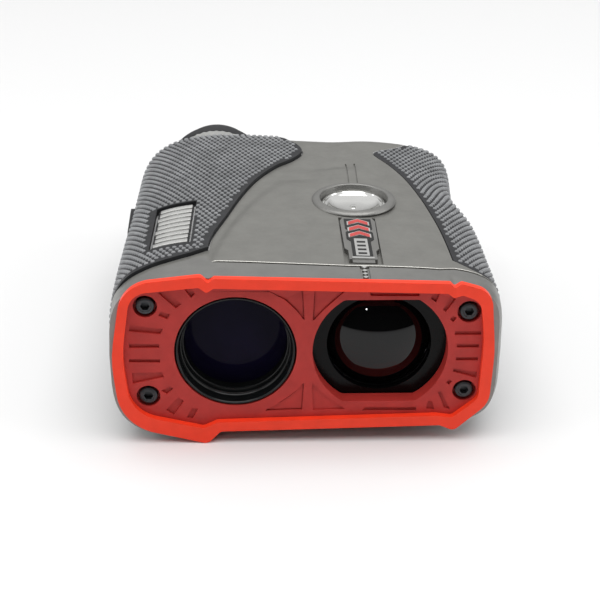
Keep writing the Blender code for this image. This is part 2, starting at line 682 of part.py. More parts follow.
laser_module = turned("laser_module", [(0, 1.7), (3.2, 1.7), (3.2, -2.4), (4.4, -2.4), (4.4, -3.6), (0, -3.6)],
                      BRASS, (-1.0, -15.5, AXIS_Z), axis="X", steps=24)

chassis = plate("optical_chassis",
                [rounded([(-30.2, 7.8, 4), (0.9, 7.8, 4), (0.9, 33.0, 4), (-30.2, 33.0, 4)]),
                 circle(OBJ_X, AXIS_Z, 9.6, 32)],
                2.0, BLACK, facing_front(-25.6))
join(chassis, box("chassis_arm", (-30.1, -25.0, 17.0), (-28.6, 6.0, 24.0), None, cutter=True))

eyepiece_barrel = turned(
    "eyepiece_barrel",
    [(10.0, 45.0), (11.2, 45.0), (11.2, 19.6), (12.6, 19.6), (12.6, 17.6), (11.2, 17.6), (11.2, 8.0),
     (8.4, 8.0), (8.4, 12.0), (10.0, 12.0)],
    BLACK, (EYE_X, 0, AXIS_Z), steps=26)
field_lens = turned("field_lens", [(0, 17.2), (9.7, 16.0), (9.7, 13.4), (0, 12.4)],
                    GLASS_CLEAR, (EYE_X, 0, AXIS_Z), steps=24)
lens_spacer = turned("lens_spacer", [(8.6, 36.2), (9.7, 36.2), (9.7, 17.4), (8.6, 17.4)],
                     BLACK_METAL, (EYE_X, 0, AXIS_Z), steps=24)
eye_lens = turned("eye_lens", [(0, 42.6), (5.0, 42.2), (8.4, 41.2), (9.7, 40.6), (9.7, 37.4), (0, 36.6)],
                  GLASS, (EYE_X, 0, AXIS_Z), steps=24)


def knurled(name, r0, r1, y0, y1, inner, n, mat, centre):
    """Ring with n grip flutes round its outside."""
    outer = []
    for y in (y0, y1):
        outer.append([(centre[0] + (r1 if k % 2 else r0) * math.cos(math.pi * k / n), y,
                       centre[1] + (r1 if k % 2 else r0) * math.sin(math.pi * k / n))
                      for k in range(2 * n)])
    inside = [[(centre[0] + inner * math.cos(math.pi * k / n), y,
                centre[1] + inner * math.sin(math.pi * k / n)) for k in range(2 * n)]
              for y in (y0, y1)]
    return tube_loft(name, outer, inside, mat)


diopter_ring = knurled("diopter_ring", 12.2, 12.6, 36.6, 42.9, 11.6, 20, GUNMETAL, (EYE_X, AXIS_Z))
eyecup = turned("eyecup",
                [(8.6, 54.0), (9.9, 54.0), (10.6, 53.3), (11.6, 48.5), (12.9, 46.2), (13.1, 45.0),
                 (12.8, 43.2), (11.6, 43.2), (11.6, 45.4), (9.4, 45.4), (8.2, 51.0)],
                RUBBER, (EYE_X, 0, AXIS_Z), steps=26)

# ------------------------------------------------------- receiver channel
receiver_mask = plate("receiver_mask",
                      [rounded(MASK), circle(REC_X, AXIS_Z, 10.95, 28)],
                      1.6, BLACK, facing_front(-48.9))
receiver_lens = turned("receiver_lens",
                       [(0, -43.6), (10.6, -43.6), (10.6, -46.9)] + dome(10.6, -46.9, -2.4, 5)[1:],
                       GLASS, (REC_X, 0, AXIS_Z), steps=24)
receiver_cone = turned("receiver_cone",
                       [(3.4, -16.0), (5.2, -16.0), (5.2, -20.0), (12.4, -43.0), (12.4, -47.0),
                        (10.9, -47.0), (10.9, -43.3), (10.2, -42.6), (3.4, -20.4)],
                       BLACK, (REC_X, 0, AXIS_Z), steps=24)
detector = turned("photodiode_can", [(0, -14.0), (4.2, -14.0), (4.2, -15.2), (3.0, -15.2), (3.0, -19.6), (0, -19.6)],
                  STEEL, (REC_X, 0, AXIS_Z), steps=24)
detector_board = box("detector_board", (5.5, -13.7, 11.5), (24.5, -12.5, 28.0), BOARD)

# ------------------------------------------------------------ electronics
main_board = box("main_board", (2.5, -27.0, 29.0), (29.5, -3.0, 30.2), BOARD)
processor = box("processor_chip", (17.0, -24.0, 30.5), (25.0, -16.0, 31.6), BLACK)
mode_switch = box("mode_switch", (MODE_X - 3, MODE_Y - 3, 30.5), (MODE_X + 3, MODE_Y + 3, 31.4), STEEL)
mode_dome = turned("mode_dome", [(0, 32.1), (1.2, 32.0), (2.4, 31.7), (0, 31.7)],
                   RUBBER, (MODE_X, MODE_Y, 0), axis="Z", steps=16)
fire_switch_board = box("fire_switch_board", (-32.2, -6.0, 13.0), (-31.2, 14.0, 27.0), BOARD)
fire_switch = box("fire_switch", (-33.3, FIRE_Y - 3, Z_MID - 3), (-32.5, FIRE_Y + 3, Z_MID + 3), STEEL)
vibration_motor = turned("vibration_motor", [(0, 1.4), (5.0, 1.4), (5.0, -1.4), (0, -1.4)], STEEL,
                         (29.8, -36.0, 22.0), axis="X", steps=24)

# ---------------------------------------------------------------- buttons
ring_base = surface_z(MODE_X, MODE_Y)
mode_ring = turned("mode_ring",
                   [(MODE_HOLE_R + 0.6, ring_base + 0.95), (MODE_RING_R - 0.5, ring_base + 0.85),
                    (MODE_RING_R, ring_base + 0.35), (8.6, ring_base + 0.3), (8.6, 33.6),
                    (MODE_HOLE_R, 33.6), (MODE_HOLE_R, ring_base + 0.55)],
                   GUNMETAL, (MODE_X, MODE_Y, 0), axis="Z", steps=26)
mode_button = turned("mode_button",
                     [(0, ring_base - 1.5), (3.5, ring_base - 1.35), (5.8, ring_base - 0.9),
                      (6.2, ring_base - 0.45), (7.0, ring_base - 0.45), (7.2, ring_base - 0.8),
                      (7.2, ring_base - 2.6), (2.2, ring_base - 2.6), (2.2, 32.9), (0, 32.9)],
                     CHROME, (MODE_X, MODE_Y, 0), axis="Z", steps=24)

fire_x = -40.9
power_button = plate("power_button", [stadium(FIRE_Y, Z_MID, FIRE_L, FIRE_W)], 5.6, RUBBER,
                     facing_side(fire_x), bevel=0.5, segments=1)
join(power_button,
     plate("fire_flange", [stadium(FIRE_Y, Z_MID, FIRE_L + 2.6, FIRE_W + 2.0)], 0.9, None,
           facing_side(-35.4), cutter=True))

# ---------------------------------------------------------------- battery
battery_tube = turned("battery_tube",
                      [(0, -2.2), (10.0, -2.2), (10.0, 30.2), (9.7, 30.2), (9.7, 26.9), (8.2, 26.9), (8.2, -1.0), (0, -1.0)][::-1],
                      BLACK, (BAT_X, 0, BAT_Z), steps=24)
battery = turned("battery", [(0, 28.5), (3.2, 28.5), (3.2, 27.7), (7.4, 27.7), (BAT_R, 27.2),
                             (BAT_R, 2.0), (7.4, 1.6), (0, 1.6)],
                 CELL, (BAT_X, 0, BAT_Z), steps=26)

rear_y = BAT_BOSS_Y - 0.2
battery_cap = turned("battery_cap",
                     [(0, rear_y + 3.4), (9.4, rear_y + 3.4), (CAP_R, rear_y + 2.6), (CAP_R, rear_y + 0.5),
                      (9.3, rear_y + 0.5), (9.3, 31.2), (8.6, 31.2), (8.6, 30.0), (9.3, 30.0),
                      (9.3, 28.9), (7.6, 28.9), (7.6, 30.4), (0, 30.4)],
                     BLACK, (BAT_X, 0, BAT_Z), steps=26)
cut(battery_cap, box("tab_room", (BAT_X - 8.9, rear_y + 0.7, BAT_Z - 1.7), (BAT_X + 8.9, rear_y + 6, BAT_Z + 12),
                     None, cutter=True))
join(battery_cap, turned("cap_edge", [(10.3, rear_y + 3.3), (10.35, rear_y + 2.6), (CAP_R, rear_y + 0.5), (8.4, rear_y + 0.5),
                                      (8.4, rear_y + 3.3)], None, (BAT_X, 0, BAT_Z), cutter=True, steps=26))

TAB_Y = rear_y + 2.25       # axis of the cap's flip-up tab
battery_cap_tab = plate("battery_cap_tab",
                        [[(BAT_X + 7.6 * math.cos(a), BAT_Z + max(0.0, 7.6 * math.sin(a)))
                          for a in spread(0, math.pi, 16)]],
                        1.4, BLACK, facing_front(TAB_Y - 0.7))
knuckle = turned("tab_knuckle", [(0, 6.0), (1.25, 6.0), (1.25, -6.0), (0, -6.0)], None,
                 (BAT_X, TAB_Y, BAT_Z), axis="X", cutter=True, steps=16)
join(battery_cap_tab, knuckle)
cut(battery_cap_tab, turned("tab_pin_hole", [(0, 12), (0.8, 12), (0.8, -12), (0, -12)], None,
                            (BAT_X, TAB_Y, BAT_Z), axis="X", cutter=True, steps=12))
battery_cap_tab_pin = turned("battery_cap_tab_pin", [(0, 8.3), (0.5, 8.3), (0.5, -8.3), (0, -8.3)], STEEL,
                             (BAT_X, TAB_Y, BAT_Z), axis="X", steps=12)
battery_cap_seal = turned("battery_cap_seal",
                          [(8.9, 31.0), (9.35, 30.6), (8.9, 30.2)], RUBBER, (BAT_X, 0, BAT_Z), steps=24)
cap_contact = turned("battery_cap_contact", [(0, 30.1), (6.8, 30.1), (6.8, 29.5), (2.4, 29.5), (1.2, 28.9), (0, 28.9)],
                     BRASS, (BAT_X, 0, BAT_Z), steps=24)


def coil(name, turns, r0, r1, y0, y1, wire, mat, centre):
    """Conical compression spring of round wire along Y."""
    curve = bpy.data.curves.new(name, "CURVE")
    curve.dimensions = "3D"
    curve.bevel_depth = wire / 2 * MM
    curve.bevel_resolution = 0
    curve.use_fill_caps = True
    n = int(turns * 10)
    spline = curve.splines.new("POLY")
    spline.points.add(n)
    for k, point in enumerate(spline.points):
        f = k / n
        r, a = r0 + (r1 - r0) * f, 2 * math.pi * turns * f
        point.co = ((centre[0] + r * math.cos(a)) * MM, (y0 + (y1 - y0) * f) * MM,
                    (centre[1] + r * math.sin(a)) * MM, 1)
    return link(bpy.data.objects.new(name, curve), mat)


battery_spring = coil("battery_spring", 2, 6.6, 3.6, -0.4, 1.05, 0.5, STEEL, (BAT_X, BAT_Z))

# -------------------------------------------------------------- nameplates
side_plate = patch("side_plate", lambda s: (8.0 + (s + 23) * -0.02, 15.2 + (s + 23) * 0.02),
                   [-45.0, -37.2, -29.6, -22.1], 0.35, -0.6, CHROME)
grip_plate = patch("grip_plate", lambda s: (-32.4 + (s + 34) * 0.035, -24.4 + (s + 34) * 0.035),
                    [-34.4, -27.5, -20.4, -13.0], 0.3, -0.45, STEEL)


# ----------------------------------------------------------- joint anchors
def anchor(name, at, *children):
    """Empty on a joint's axis; its pieces hang from it where they stand."""
    empty = bpy.data.objects.new(name, None)
    empty.empty_display_size = 0.004
    PARTS.objects.link(empty)
    empty.location = Vector(at) * MM
    bpy.context.view_layer.update()
    for child in children:
        child.parent = empty
        child.matrix_parent_inverse = empty.matrix_world.inverted()
    return empty


anchor("mode_button_axis", (MODE_X, MODE_Y, ring_base), mode_button)
anchor("power_button_axis", (fire_x, FIRE_Y, Z_MID), power_button)
anchor("diopter_axis", (EYE_X, 45.0, AXIS_Z), diopter_ring, eyecup, eye_lens)
anchor("battery_axis", (BAT_X, 14.0, BAT_Z), battery)
cap_slide = anchor("battery_cap_slide", (BAT_X, rear_y, BAT_Z), battery_cap_seal, cap_contact)
cap_turn = anchor("battery_cap_turn", (BAT_X, rear_y, BAT_Z), battery_cap, battery_cap_tab_pin)
tab_axis = anchor("battery_cap_tab_axis", (BAT_X, TAB_Y, BAT_Z), battery_cap_tab)
for child, parent in ((cap_turn, cap_slide), (tab_axis, cap_turn)):
    child.parent = parent
    child.matrix_parent_inverse = parent.matrix_world.inverted()
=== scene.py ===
"""Looks of the laser rangefinder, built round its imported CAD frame."""

import json
import math

import bmesh
import bpy
from mathutils import Matrix, Vector

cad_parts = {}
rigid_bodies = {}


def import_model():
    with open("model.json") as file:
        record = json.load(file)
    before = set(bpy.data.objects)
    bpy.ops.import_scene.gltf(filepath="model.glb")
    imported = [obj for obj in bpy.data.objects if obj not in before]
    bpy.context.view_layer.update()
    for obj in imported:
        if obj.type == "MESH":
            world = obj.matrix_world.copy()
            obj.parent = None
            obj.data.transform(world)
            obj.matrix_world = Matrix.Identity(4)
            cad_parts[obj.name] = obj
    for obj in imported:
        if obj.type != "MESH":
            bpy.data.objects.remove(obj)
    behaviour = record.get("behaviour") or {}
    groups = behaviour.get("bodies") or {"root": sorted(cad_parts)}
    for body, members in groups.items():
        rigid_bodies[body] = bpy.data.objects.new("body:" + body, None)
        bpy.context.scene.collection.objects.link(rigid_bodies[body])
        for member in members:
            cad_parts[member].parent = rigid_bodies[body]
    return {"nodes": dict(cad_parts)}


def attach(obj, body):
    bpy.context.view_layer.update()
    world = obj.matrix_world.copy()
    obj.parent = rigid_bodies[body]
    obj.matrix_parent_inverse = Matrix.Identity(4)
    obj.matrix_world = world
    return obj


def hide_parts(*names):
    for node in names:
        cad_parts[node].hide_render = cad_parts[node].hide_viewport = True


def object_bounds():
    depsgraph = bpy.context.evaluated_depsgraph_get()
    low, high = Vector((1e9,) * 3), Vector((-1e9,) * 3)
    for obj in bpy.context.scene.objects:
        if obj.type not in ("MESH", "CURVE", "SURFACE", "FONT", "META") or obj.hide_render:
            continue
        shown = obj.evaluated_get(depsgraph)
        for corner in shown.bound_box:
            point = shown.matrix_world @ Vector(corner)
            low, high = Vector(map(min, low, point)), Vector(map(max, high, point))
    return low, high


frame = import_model()
CAD_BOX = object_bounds()


MM = 0.001

# ---------------------------------------------------------------- dimensions
LENGTH = 108.0              # objective rim to eyecup, along Y
Y_FRONT = -54.0             # front plane of the rim
Y_PLATE = -52.5             # front plane of the face plate
Z_MID = 20.1                # parting plane of the two housing halves
AXIS_Z = 20.6               # height of both optical axes
OBJ_X = -14.7               # objective axis
EYE_X = -19.6               # eyepiece axis, moved sideways by the prism
REC_X = 14.9                # receiver axis
GAP = 0.3                   # clearance between touching pieces

WALL = 2.0                  # housing wall
GRIP_T = 1.5                # depth of the grip pockets
SPLIT = 0.15                # half of the parting gap

# outline of the body in plan: station y -> side x
LEFT_SIDE = [(-53, -40.3), (-44, -40.9), (-34, -41.1), (-24, -40.9), (-12, -40.4),
             (-2, -39.8), (8, -39.4), (19, -38.8), (30, -38.4), (40, -38.2)]
RIGHT_SIDE = [(-53, 38.9), (-50, 40.0), (-44, 40.6), (-34, 41.2), (-24, 41.3), (-12, 41.0),
              (-6, 40.0), (-1, 38.8), (4, 37.9), (9, 37.2), (14, 37.3), (20, 37.6),
              (27, 37.9), (33, 37.6), (40, 37.4)]
# edge of each grip on the side faces: station y -> x
LEFT_GRIP = [(-50, -20.4), (-37.4, -20.3), (-20, -16.3), (-2.3, -10.9), (8.2, -5.5),
             (13.4, -1.2), (17.0, 0.7), (19.2, 1.2), (22.5, 0.4), (26, -1.8), (36, -8.0)]
RIGHT_GRIP = [(-50, 31.0), (-41, 30.6), (-28.5, 29.9), (-12.5, 27.9), (1, 25.2),
              (6.2, 23.5), (11, 21.5), (16, 19.0), (18.2, 18.3), (20.2, 19.4), (22.5, 22.6),
              (25.5, 25.6), (36, 29.0)]
# plan line of the seam between collar and housing, and of the grips' front edges
SEAM = [(-44, -48.2), (-34, -47.1), (-28, -45.1), (-24, -43.4), (-21, -42.4),
        (-19.2, -45.6), (9, -46.7), (27, -46.5), (30, -45.4), (44, -45.5)]
GRIP_FRONT = [(-44, -44.2), (-34, -43.4), (-28, -41.8), (-24, -40.2), (-20, -37.7),
              (29, -39.6), (32, -42.0), (34, -43.4), (36, -44.3), (44, -44.6)]

TOP_H = 17.8                # parting plane to side face, left of the middle
WEDGE = 0.03                # the body thins towards the battery side
BOT_H = 17.5
LOBE_L = 20.4               # depth of the grip lobes below the parting plane
N_LEFT, N_RIGHT = 4.6, 5.4  # fullness of the section's corners
# draft of the side walls towards the side faces: station y -> share of the half width
DRAFT_L = [(-53, 0.02), (-44, 0.05), (-34, 0.085), (-18, 0.11), (25, 0.11), (40, 0.11)]
DRAFT_R = [(-53, 0.0), (-46, 0.015), (-38, 0.055), (-28, 0.085), (-12, 0.10), (3, 0.10), (14, 0.05), (40, 0.03)]

LOBE_END = -30              # behind this the grips alone form the lobes
S_REAR, S_ROUND = 34.5, 25.5        # rear face, start of its rounding
REAR_IN_L, REAR_IN_R, REAR_IN_Z = 10.0, 7.0, 6.0
REAR_SLANT = 0.06

BORE_OBJ = 12.5             # radius of the objective hole in the face plate
REC_R, REC_FLAT = 13.9, 11.7
SCREWS = [(-32.8, 31.1), (-32.7, 10.5), (32.7, 29.5), (32.6, 11.3)]
SCREW_HEAD_R, SCREW_BORE_R, SCREW_SHANK_R = 1.9, 2.45, 1.0

MODE_X, MODE_Y = 11.6, -12.2
MODE_RING_R, MODE_HOLE_R = 9.35, 7.5
MODE_TRAVEL = 0.6
FIRE_Y, FIRE_L, FIRE_W = 4.0, 22.0, 11.0
FIRE_TRAVEL = 1.0
BAT_X, BAT_Z = 19.5, 20.1   # battery axis
BAT_R, BAT_L = 7.8, 27.0
CAP_R = 10.4



def lerp_table(table, u):
    """Smooth monotone curve through the stations of a table."""
    if u <= table[0][0]:
        return table[0][1]
    if u >= table[-1][0]:
        return table[-1][1]
    k = max(i for i in range(len(table)) if table[i][0] <= u)
    k = min(k, len(table) - 2)
    slope = [(table[i + 1][1] - table[i][1]) / (table[i + 1][0] - table[i][0])
             for i in range(len(table) - 1)]

    def tangent(i):
        if i in (0, len(table) - 1):
            return slope[min(i, len(slope) - 1)]
        a, b = slope[i - 1], slope[i]
        return 0.0 if a * b <= 0 else 2 * a * b / (a + b)

    (x0, y0), (x1, y1) = table[k], table[k + 1]
    h = x1 - x0
    t = (u - x0) / h
    m0, m1 = tangent(k) * h, tangent(k + 1) * h
    return ((2 * t**3 - 3 * t**2 + 1) * y0 + (t**3 - 2 * t**2 + t) * m0
            + (-2 * t**3 + 3 * t**2) * y1 + (t**3 - t**2) * m1)


def linear_table(table, u):
    if u <= table[0][0]:
        return table[0][1]
    for (x0, y0), (x1, y1) in zip(table, table[1:]):
        if u <= x1:
            return y0 + (y1 - y0) * (u - x0) / (x1 - x0)
    return table[-1][1]


def rounded(corners, step=26.0):
    """Closed outline of a polygon whose corners (u, v, radius) are filleted."""
    out = []
    for i, (x, y, r) in enumerate(corners):
        p = Vector((x, y))
        a = (Vector(corners[i - 1][:2]) - p).normalized()
        b = (Vector(corners[(i + 1) % len(corners)][:2]) - p).normalized()
        half = math.acos(max(-1, min(1, a.dot(b)))) / 2
        if r <= 0 or half > math.radians(89.5):
            out.append((x, y))
            continue
        back = r / math.tan(half)
        centre = p + (a + b).normalized() * (r / math.sin(half))
        start, end = p + a * back - centre, p + b * back - centre
        turn = start.angle_signed(end) if hasattr(start, "angle_signed") else 0
        turn = -turn
        n = max(2, int(abs(math.degrees(turn)) / step) + 1)
        for k in range(n + 1):
            ang = turn * k / n
            v = Vector((start.x * math.cos(ang) - start.y * math.sin(ang),
                        start.x * math.sin(ang) + start.y * math.cos(ang)))
            out.append((centre.x + v.x, centre.y + v.y))
    clean = []
    for pt in out:
        if not clean or math.dist(pt, clean[-1]) > 0.02:
            clean.append(pt)
    if math.dist(clean[0], clean[-1]) < 0.02:
        clean.pop()
    return clean


def circle(cx, cy, r, n=40, phase=0.0):
    return [(cx + r * math.cos(2 * math.pi * (k + phase) / n),
             cy + r * math.sin(2 * math.pi * (k + phase) / n)) for k in range(n)]


def grow(outline, d):
    """Outline moved outwards by d along its normals."""
    n = len(outline)
    area = sum(outline[i - 1][0] * outline[i][1] - outline[i][0] * outline[i - 1][1]
               for i in range(n))
    sign = 1 if area > 0 else -1
    out = []
    for i in range(n):
        a, b, c = outline[i - 1], outline[i], outline[(i + 1) % n]
        t = Vector((c[0] - a[0], c[1] - a[1])).normalized()
        out.append((b[0] + sign * t.y * d, b[1] - sign * t.x * d))
    return out


def facing_front(y):
    """Outlines (x, z) become faces in a plane of constant y; depth runs to +Y."""
    return Matrix(((1, 0, 0, 0), (0, 0, 1, y * MM), (0, 1, 0, 0), (0, 0, 0, 1)))


def facing_up(z):
    return Matrix.Translation((0, 0, z * MM))


def facing_side(x):
    """Outlines (y, z) in a plane of constant x; depth runs to +X."""
    return Matrix(((0, 0, 1, x * MM), (1, 0, 0, 0), (0, 1, 0, 0), (0, 0, 0, 1)))


def rear_u(s):
    u = (s - S_ROUND) / (S_REAR - S_ROUND)
    return 1 - math.sqrt(max(0.0, 1 - max(0.0, min(1.0, u)) ** 2))


def sides(s):
    k = rear_u(s)
    return (lerp_table(LEFT_SIDE, s) + REAR_IN_L * k,
            lerp_table(RIGHT_SIDE, s) - REAR_IN_R * k)


def lobe_right(s):
    return linear_table([(-53, 17.3), (-46, 17.8), (-10, 20.4), (40, 20.4)], s)


def height(x, s, up, zone):
    """Distance of the side face from the parting plane."""
    k = REAR_IN_Z * rear_u(s)
    thin = WEDGE * (max(-19.0, min(30.0, x)) + 19.0)
    if up:
        return TOP_H - thin - k
    if zone < 0:
        return LOBE_L - k
    if zone > 0:
        return lobe_right(s) - k
    return BOT_H - thin * 0.85 - k


def draft(x, s):
    return linear_table(DRAFT_R if x > 0 else DRAFT_L, s)


def across(x, s, off):
    """Fullness, and shares of the half width and of the height, where the section passes over x."""
    left, right = sides(s)
    n = N_RIGHT if x > 0 else N_LEFT
    half = (right - off) if x > 0 else (-left - off)
    up = 1.0
    for _ in range(12):
        out = min(0.999, abs(x) / (half * (1 - draft(x, s) * up ** 1.5)))
        up = (1 - out ** n) ** (1 / n)
    return n, out, up


def section_point(t, s, off, zone, y):
    """Point of the section at angle t, at station s, moved inwards by off."""
    left, right = sides(s)
    c, sn = math.cos(t), math.sin(t)
    n = N_RIGHT if c > 0 else N_LEFT
    half = (right - off) if c > 0 else (-left - off)
    x = math.copysign(half * abs(c) ** (2 / n) * (1 - draft(c, s) * abs(sn) ** (3 / n)), c)
    h = height(x, s, sn > 0, zone) - off
    z = Z_MID + math.copysign(h * abs(sn) ** (2 / n), sn)
    return (x, y(x, s), max(z, 0.0 if off <= 0 else z))


def angle_at(x, s, off):
    """Angle on the upper half at which the section passes over x."""
    n, out, up = across(x, s, off)
    return math.acos(math.copysign(out ** (n / 2), x))


def slant(x, s):
    """Plan shape of a station: straight in the middle, slanted at the rear."""
    fade = max(0.0, min(1.0, (s - 5) / 25))
    return s - REAR_SLANT * (x + 15) * fade * fade


def spread(a, b, n):
    return [a + (b - a) * k / n for k in range(n + 1)]


def body_angles(s, off=0.0, side=5, mid=8, notch=0.5, shift=0.0):
    """(angle, zone) round the section, with a point each side of each grip edge."""
    gl, gr = lerp_table(LEFT_GRIP, s) + shift, lerp_table(RIGHT_GRIP, s) - shift
    a1, a2 = angle_at(gr + notch, s, off), angle_at(gr - notch, s, off)
    b1, b2 = angle_at(gl + notch, s, off), angle_at(gl - notch, s, off)
    up = ([(t, 1) for t in spread(0, a1, side)] + [(t, 0) for t in spread(a2, b1, mid)]
          + [(t, -1) for t in spread(b2, math.pi, side)])
    down = [(2 * math.pi - t, zone) for t, zone in reversed(up)][1:-1]
    return up, down


def surface_z(x, s, off=0.0, up=True, zone=0):
    n, out, k = across(x, s, off)
    h = (height(x, s, up, zone) - off) * k
    return Z_MID + h if up else Z_MID - h


def flat_angle(side):
    """Angle at which a grip's underside runs out onto the flat that it rests on."""
    n = N_LEFT if side < 0 else N_RIGHT
    t = math.asin((Z_MID / LOBE_L) ** (n / 2))
    return math.pi - t if side < 0 else t


def stadium(cy, cz, length, width, n=10):
    r = width / 2
    out = []
    for k in range(n + 1):
        a = -math.pi / 2 + math.pi * k / n
        out.append((cy + length / 2 - r + r * math.cos(a), cz + r * math.sin(a)))
    for k in range(n + 1):
        a = math.pi / 2 + math.pi * k / n
        out.append((cy - length / 2 + r + r * math.cos(a), cz + r * math.sin(a)))
    return out


def dome(r, edge, sag, n=4):
    """Stations of a shallow spherical cap of radius r, from edge to centre."""
    big = (r * r + sag * sag) / (2 * abs(sag))
    return [(r * (1 - k / n), edge + math.copysign(math.sqrt(big * big - (r * (1 - k / n)) ** 2)
                                                   - (big - abs(sag)), sag)) for k in range(n + 1)]


RIM_OUT = rounded([(-20.6, -0.17, 1.6), (-38.3, 4.3, 10.0), (-40.0, 19.6, 30.0), (-37.4, 36.5, 7.5),
                   (-21.55, 38.35, 1.2), (-20.1, 36.9, 0.5), (-18.9, 37.9, 0.7), (28.4, 36.5, 0.7),
                   (29.3, 35.5, 0.5), (30.6, 36.5, 0.9), (36.9, 34.6, 4.5), (38.2, 21.0, 40.0),
                   (37.7, 9.0, 5.5), (30.7, 2.5, 1.5), (27.7, 3.8, 1.0), (-17.9, 2.7, 1.2)], step=6)
RIM_IN = rounded([(-21.4, 3.5, 1.2), (-36.2, 7.0, 7.5), (-37.7, 20.5, 30.0), (-35.7, 34.5, 4.2),
                  (-21.9, 35.9, 1.0), (-20.4, 34.7, 0.6), (-19.0, 35.7, 0.8), (28.0, 34.3, 0.8),
                  (29.2, 33.3, 0.6), (31.0, 33.9, 1.2), (34.7, 32.4, 3.2), (35.9, 24.0, 40.0),
                  (35.4, 10.0, 3.5), (30.2, 5.6, 1.5), (27.0, 6.1, 1.0), (-18.5, 4.9, 1.2)], step=6)
MASK = [(0.6, 6.8, 2), (30.6, 7.6, 2), (30.6, 32.8, 2), (0.6, 33.6, 2)]

COLLECTION = bpy.context.scene.collection

# ------------------------------------------------------------- mesh tools


def to_object(name, bm, mat=None, smooth=35.0, recalc=True):
    mat = getattr(mat, "mat", mat)
    if recalc:
        bmesh.ops.recalc_face_normals(bm, faces=bm.faces)
    mesh = bpy.data.meshes.new(name)
    bm.to_mesh(mesh)
    bm.free()
    obj = bpy.data.objects.new(name, mesh)
    COLLECTION.objects.link(obj)
    if mat:
        mesh.materials.append(mat)
    shade(obj, smooth)
    return obj


def shade(obj, smooth):
    if smooth:
        obj.data.shade_smooth()
        obj.data.set_sharp_from_angle(angle=math.radians(smooth))
    return obj


def plate(name, outlines, depth, place, mat=None, bevel=0.0, segments=3, smooth=35.0):
    curve = bpy.data.curves.new(name + "_outline", "CURVE")
    curve.dimensions = "2D"
    curve.fill_mode = "BOTH"
    curve.extrude = depth * MM / 2
    for outline in outlines:
        spline = curve.splines.new("POLY")
        spline.points.add(len(outline) - 1)
        for point, (u, v) in zip(spline.points, outline):
            point.co = (u * MM, v * MM, 0, 1)
        spline.use_cyclic_u = True
    guide = bpy.data.objects.new(name + "_guide", curve)
    COLLECTION.objects.link(guide)
    graph = bpy.context.evaluated_depsgraph_get()
    mesh = bpy.data.meshes.new_from_object(guide.evaluated_get(graph))
    bpy.data.objects.remove(guide)
    bpy.data.curves.remove(curve)
    bm = bmesh.new()
    bm.from_mesh(mesh)
    bmesh.ops.remove_doubles(bm, verts=bm.verts, dist=1e-6)
    bmesh.ops.translate(bm, verts=bm.verts, vec=(0, 0, depth * MM / 2))
    bm.transform(place)
    bpy.data.meshes.remove(mesh)
    obj = to_object(name, bm, mat, smooth)
    if bevel:
        soften(obj, bevel, segments, 50, smooth)
    return obj


def soften(obj, width, segments=2, angle=40, smooth=35.0):
    """Rounds the sharp edges and keeps the result as the mesh."""
    mod = obj.modifiers.new("edge", "BEVEL")
    mod.width = width * MM
    mod.segments = segments
    mod.limit_method = "ANGLE"
    mod.angle_limit = math.radians(angle)
    mod.harden_normals = False
    settle(obj)
    return shade(obj, smooth)


def settle(obj):
    graph = bpy.context.evaluated_depsgraph_get()
    mesh = bpy.data.meshes.new_from_object(obj.evaluated_get(graph))
    obj.modifiers.clear()
    old = obj.data
    obj.data = mesh
    bpy.data.meshes.remove(old)
    return obj


def combine(obj, others, operation, solver="MANIFOLD"):
    mods = []
    for other in others:
        mod = obj.modifiers.new("bool", "BOOLEAN")
        mod.operation = operation
        mod.solver = solver
        mod.object = other
        mods.append(mod)
    return settle(obj)


def cut(obj, *cutters, solver="MANIFOLD", drop=False):
    combine(obj, cutters, "DIFFERENCE", solver)
    if drop:
        remove(*cutters)
    return obj


def remove(*objs):
    for o in objs:
        mesh = o.data
        bpy.data.objects.remove(o)
        if mesh and mesh.users == 0:
            bpy.data.meshes.remove(mesh)


def turned(name, profile, centre, mat=None, axis="Y", steps=112, smooth=32.0):
    """Body turned about an axis from a profile of (radius, station)."""
    bm = bmesh.new()
    rows = []
    ring = profile[0][0] > 0.001
    for r, h in profile:
        if r <= 0.001:
            rows.append([bm.verts.new((0, 0, h * MM))])
        else:
            rows.append([bm.verts.new((r * MM * math.cos(2 * math.pi * k / steps),
                                       r * MM * math.sin(2 * math.pi * k / steps), h * MM))
                         for k in range(steps)])
    pairs = list(zip(rows, rows[1:]))
    if ring:
        pairs.append((rows[-1], rows[0]))
    for a, b in pairs:
        for k in range(steps):
            j = (k + 1) % steps
            if len(a) == 1 and len(b) == 1:
                continue
            if len(a) == 1:
                bm.faces.new((a[0], b[k], b[j]))
            elif len(b) == 1:
                bm.faces.new((a[k], a[j], b[0]))
            else:
                bm.faces.new((a[k], a[j], b[j], b[k]))
    turning = {"Y": Matrix(((1, 0, 0, 0), (0, 0, 1, 0), (0, -1, 0, 0), (0, 0, 0, 1))),
               "X": Matrix(((0, 0, 1, 0), (0, 1, 0, 0), (-1, 0, 0, 0), (0, 0, 0, 1))),
               "Z": Matrix.Identity(4)}[axis]
    bm.transform(Matrix.Translation(Vector(centre) * MM) @ turning)
    return to_object(name, bm, mat, smooth)


def box(name, lo, hi, mat=None):
    bm = bmesh.new()
    bmesh.ops.create_cube(bm, size=1.0)
    bmesh.ops.scale(bm, verts=bm.verts, vec=[(h - l) * MM for l, h in zip(lo, hi)])
    bmesh.ops.translate(bm, verts=bm.verts, vec=[(h + l) / 2 * MM for l, h in zip(lo, hi)])
    return to_object(name, bm, mat, None)


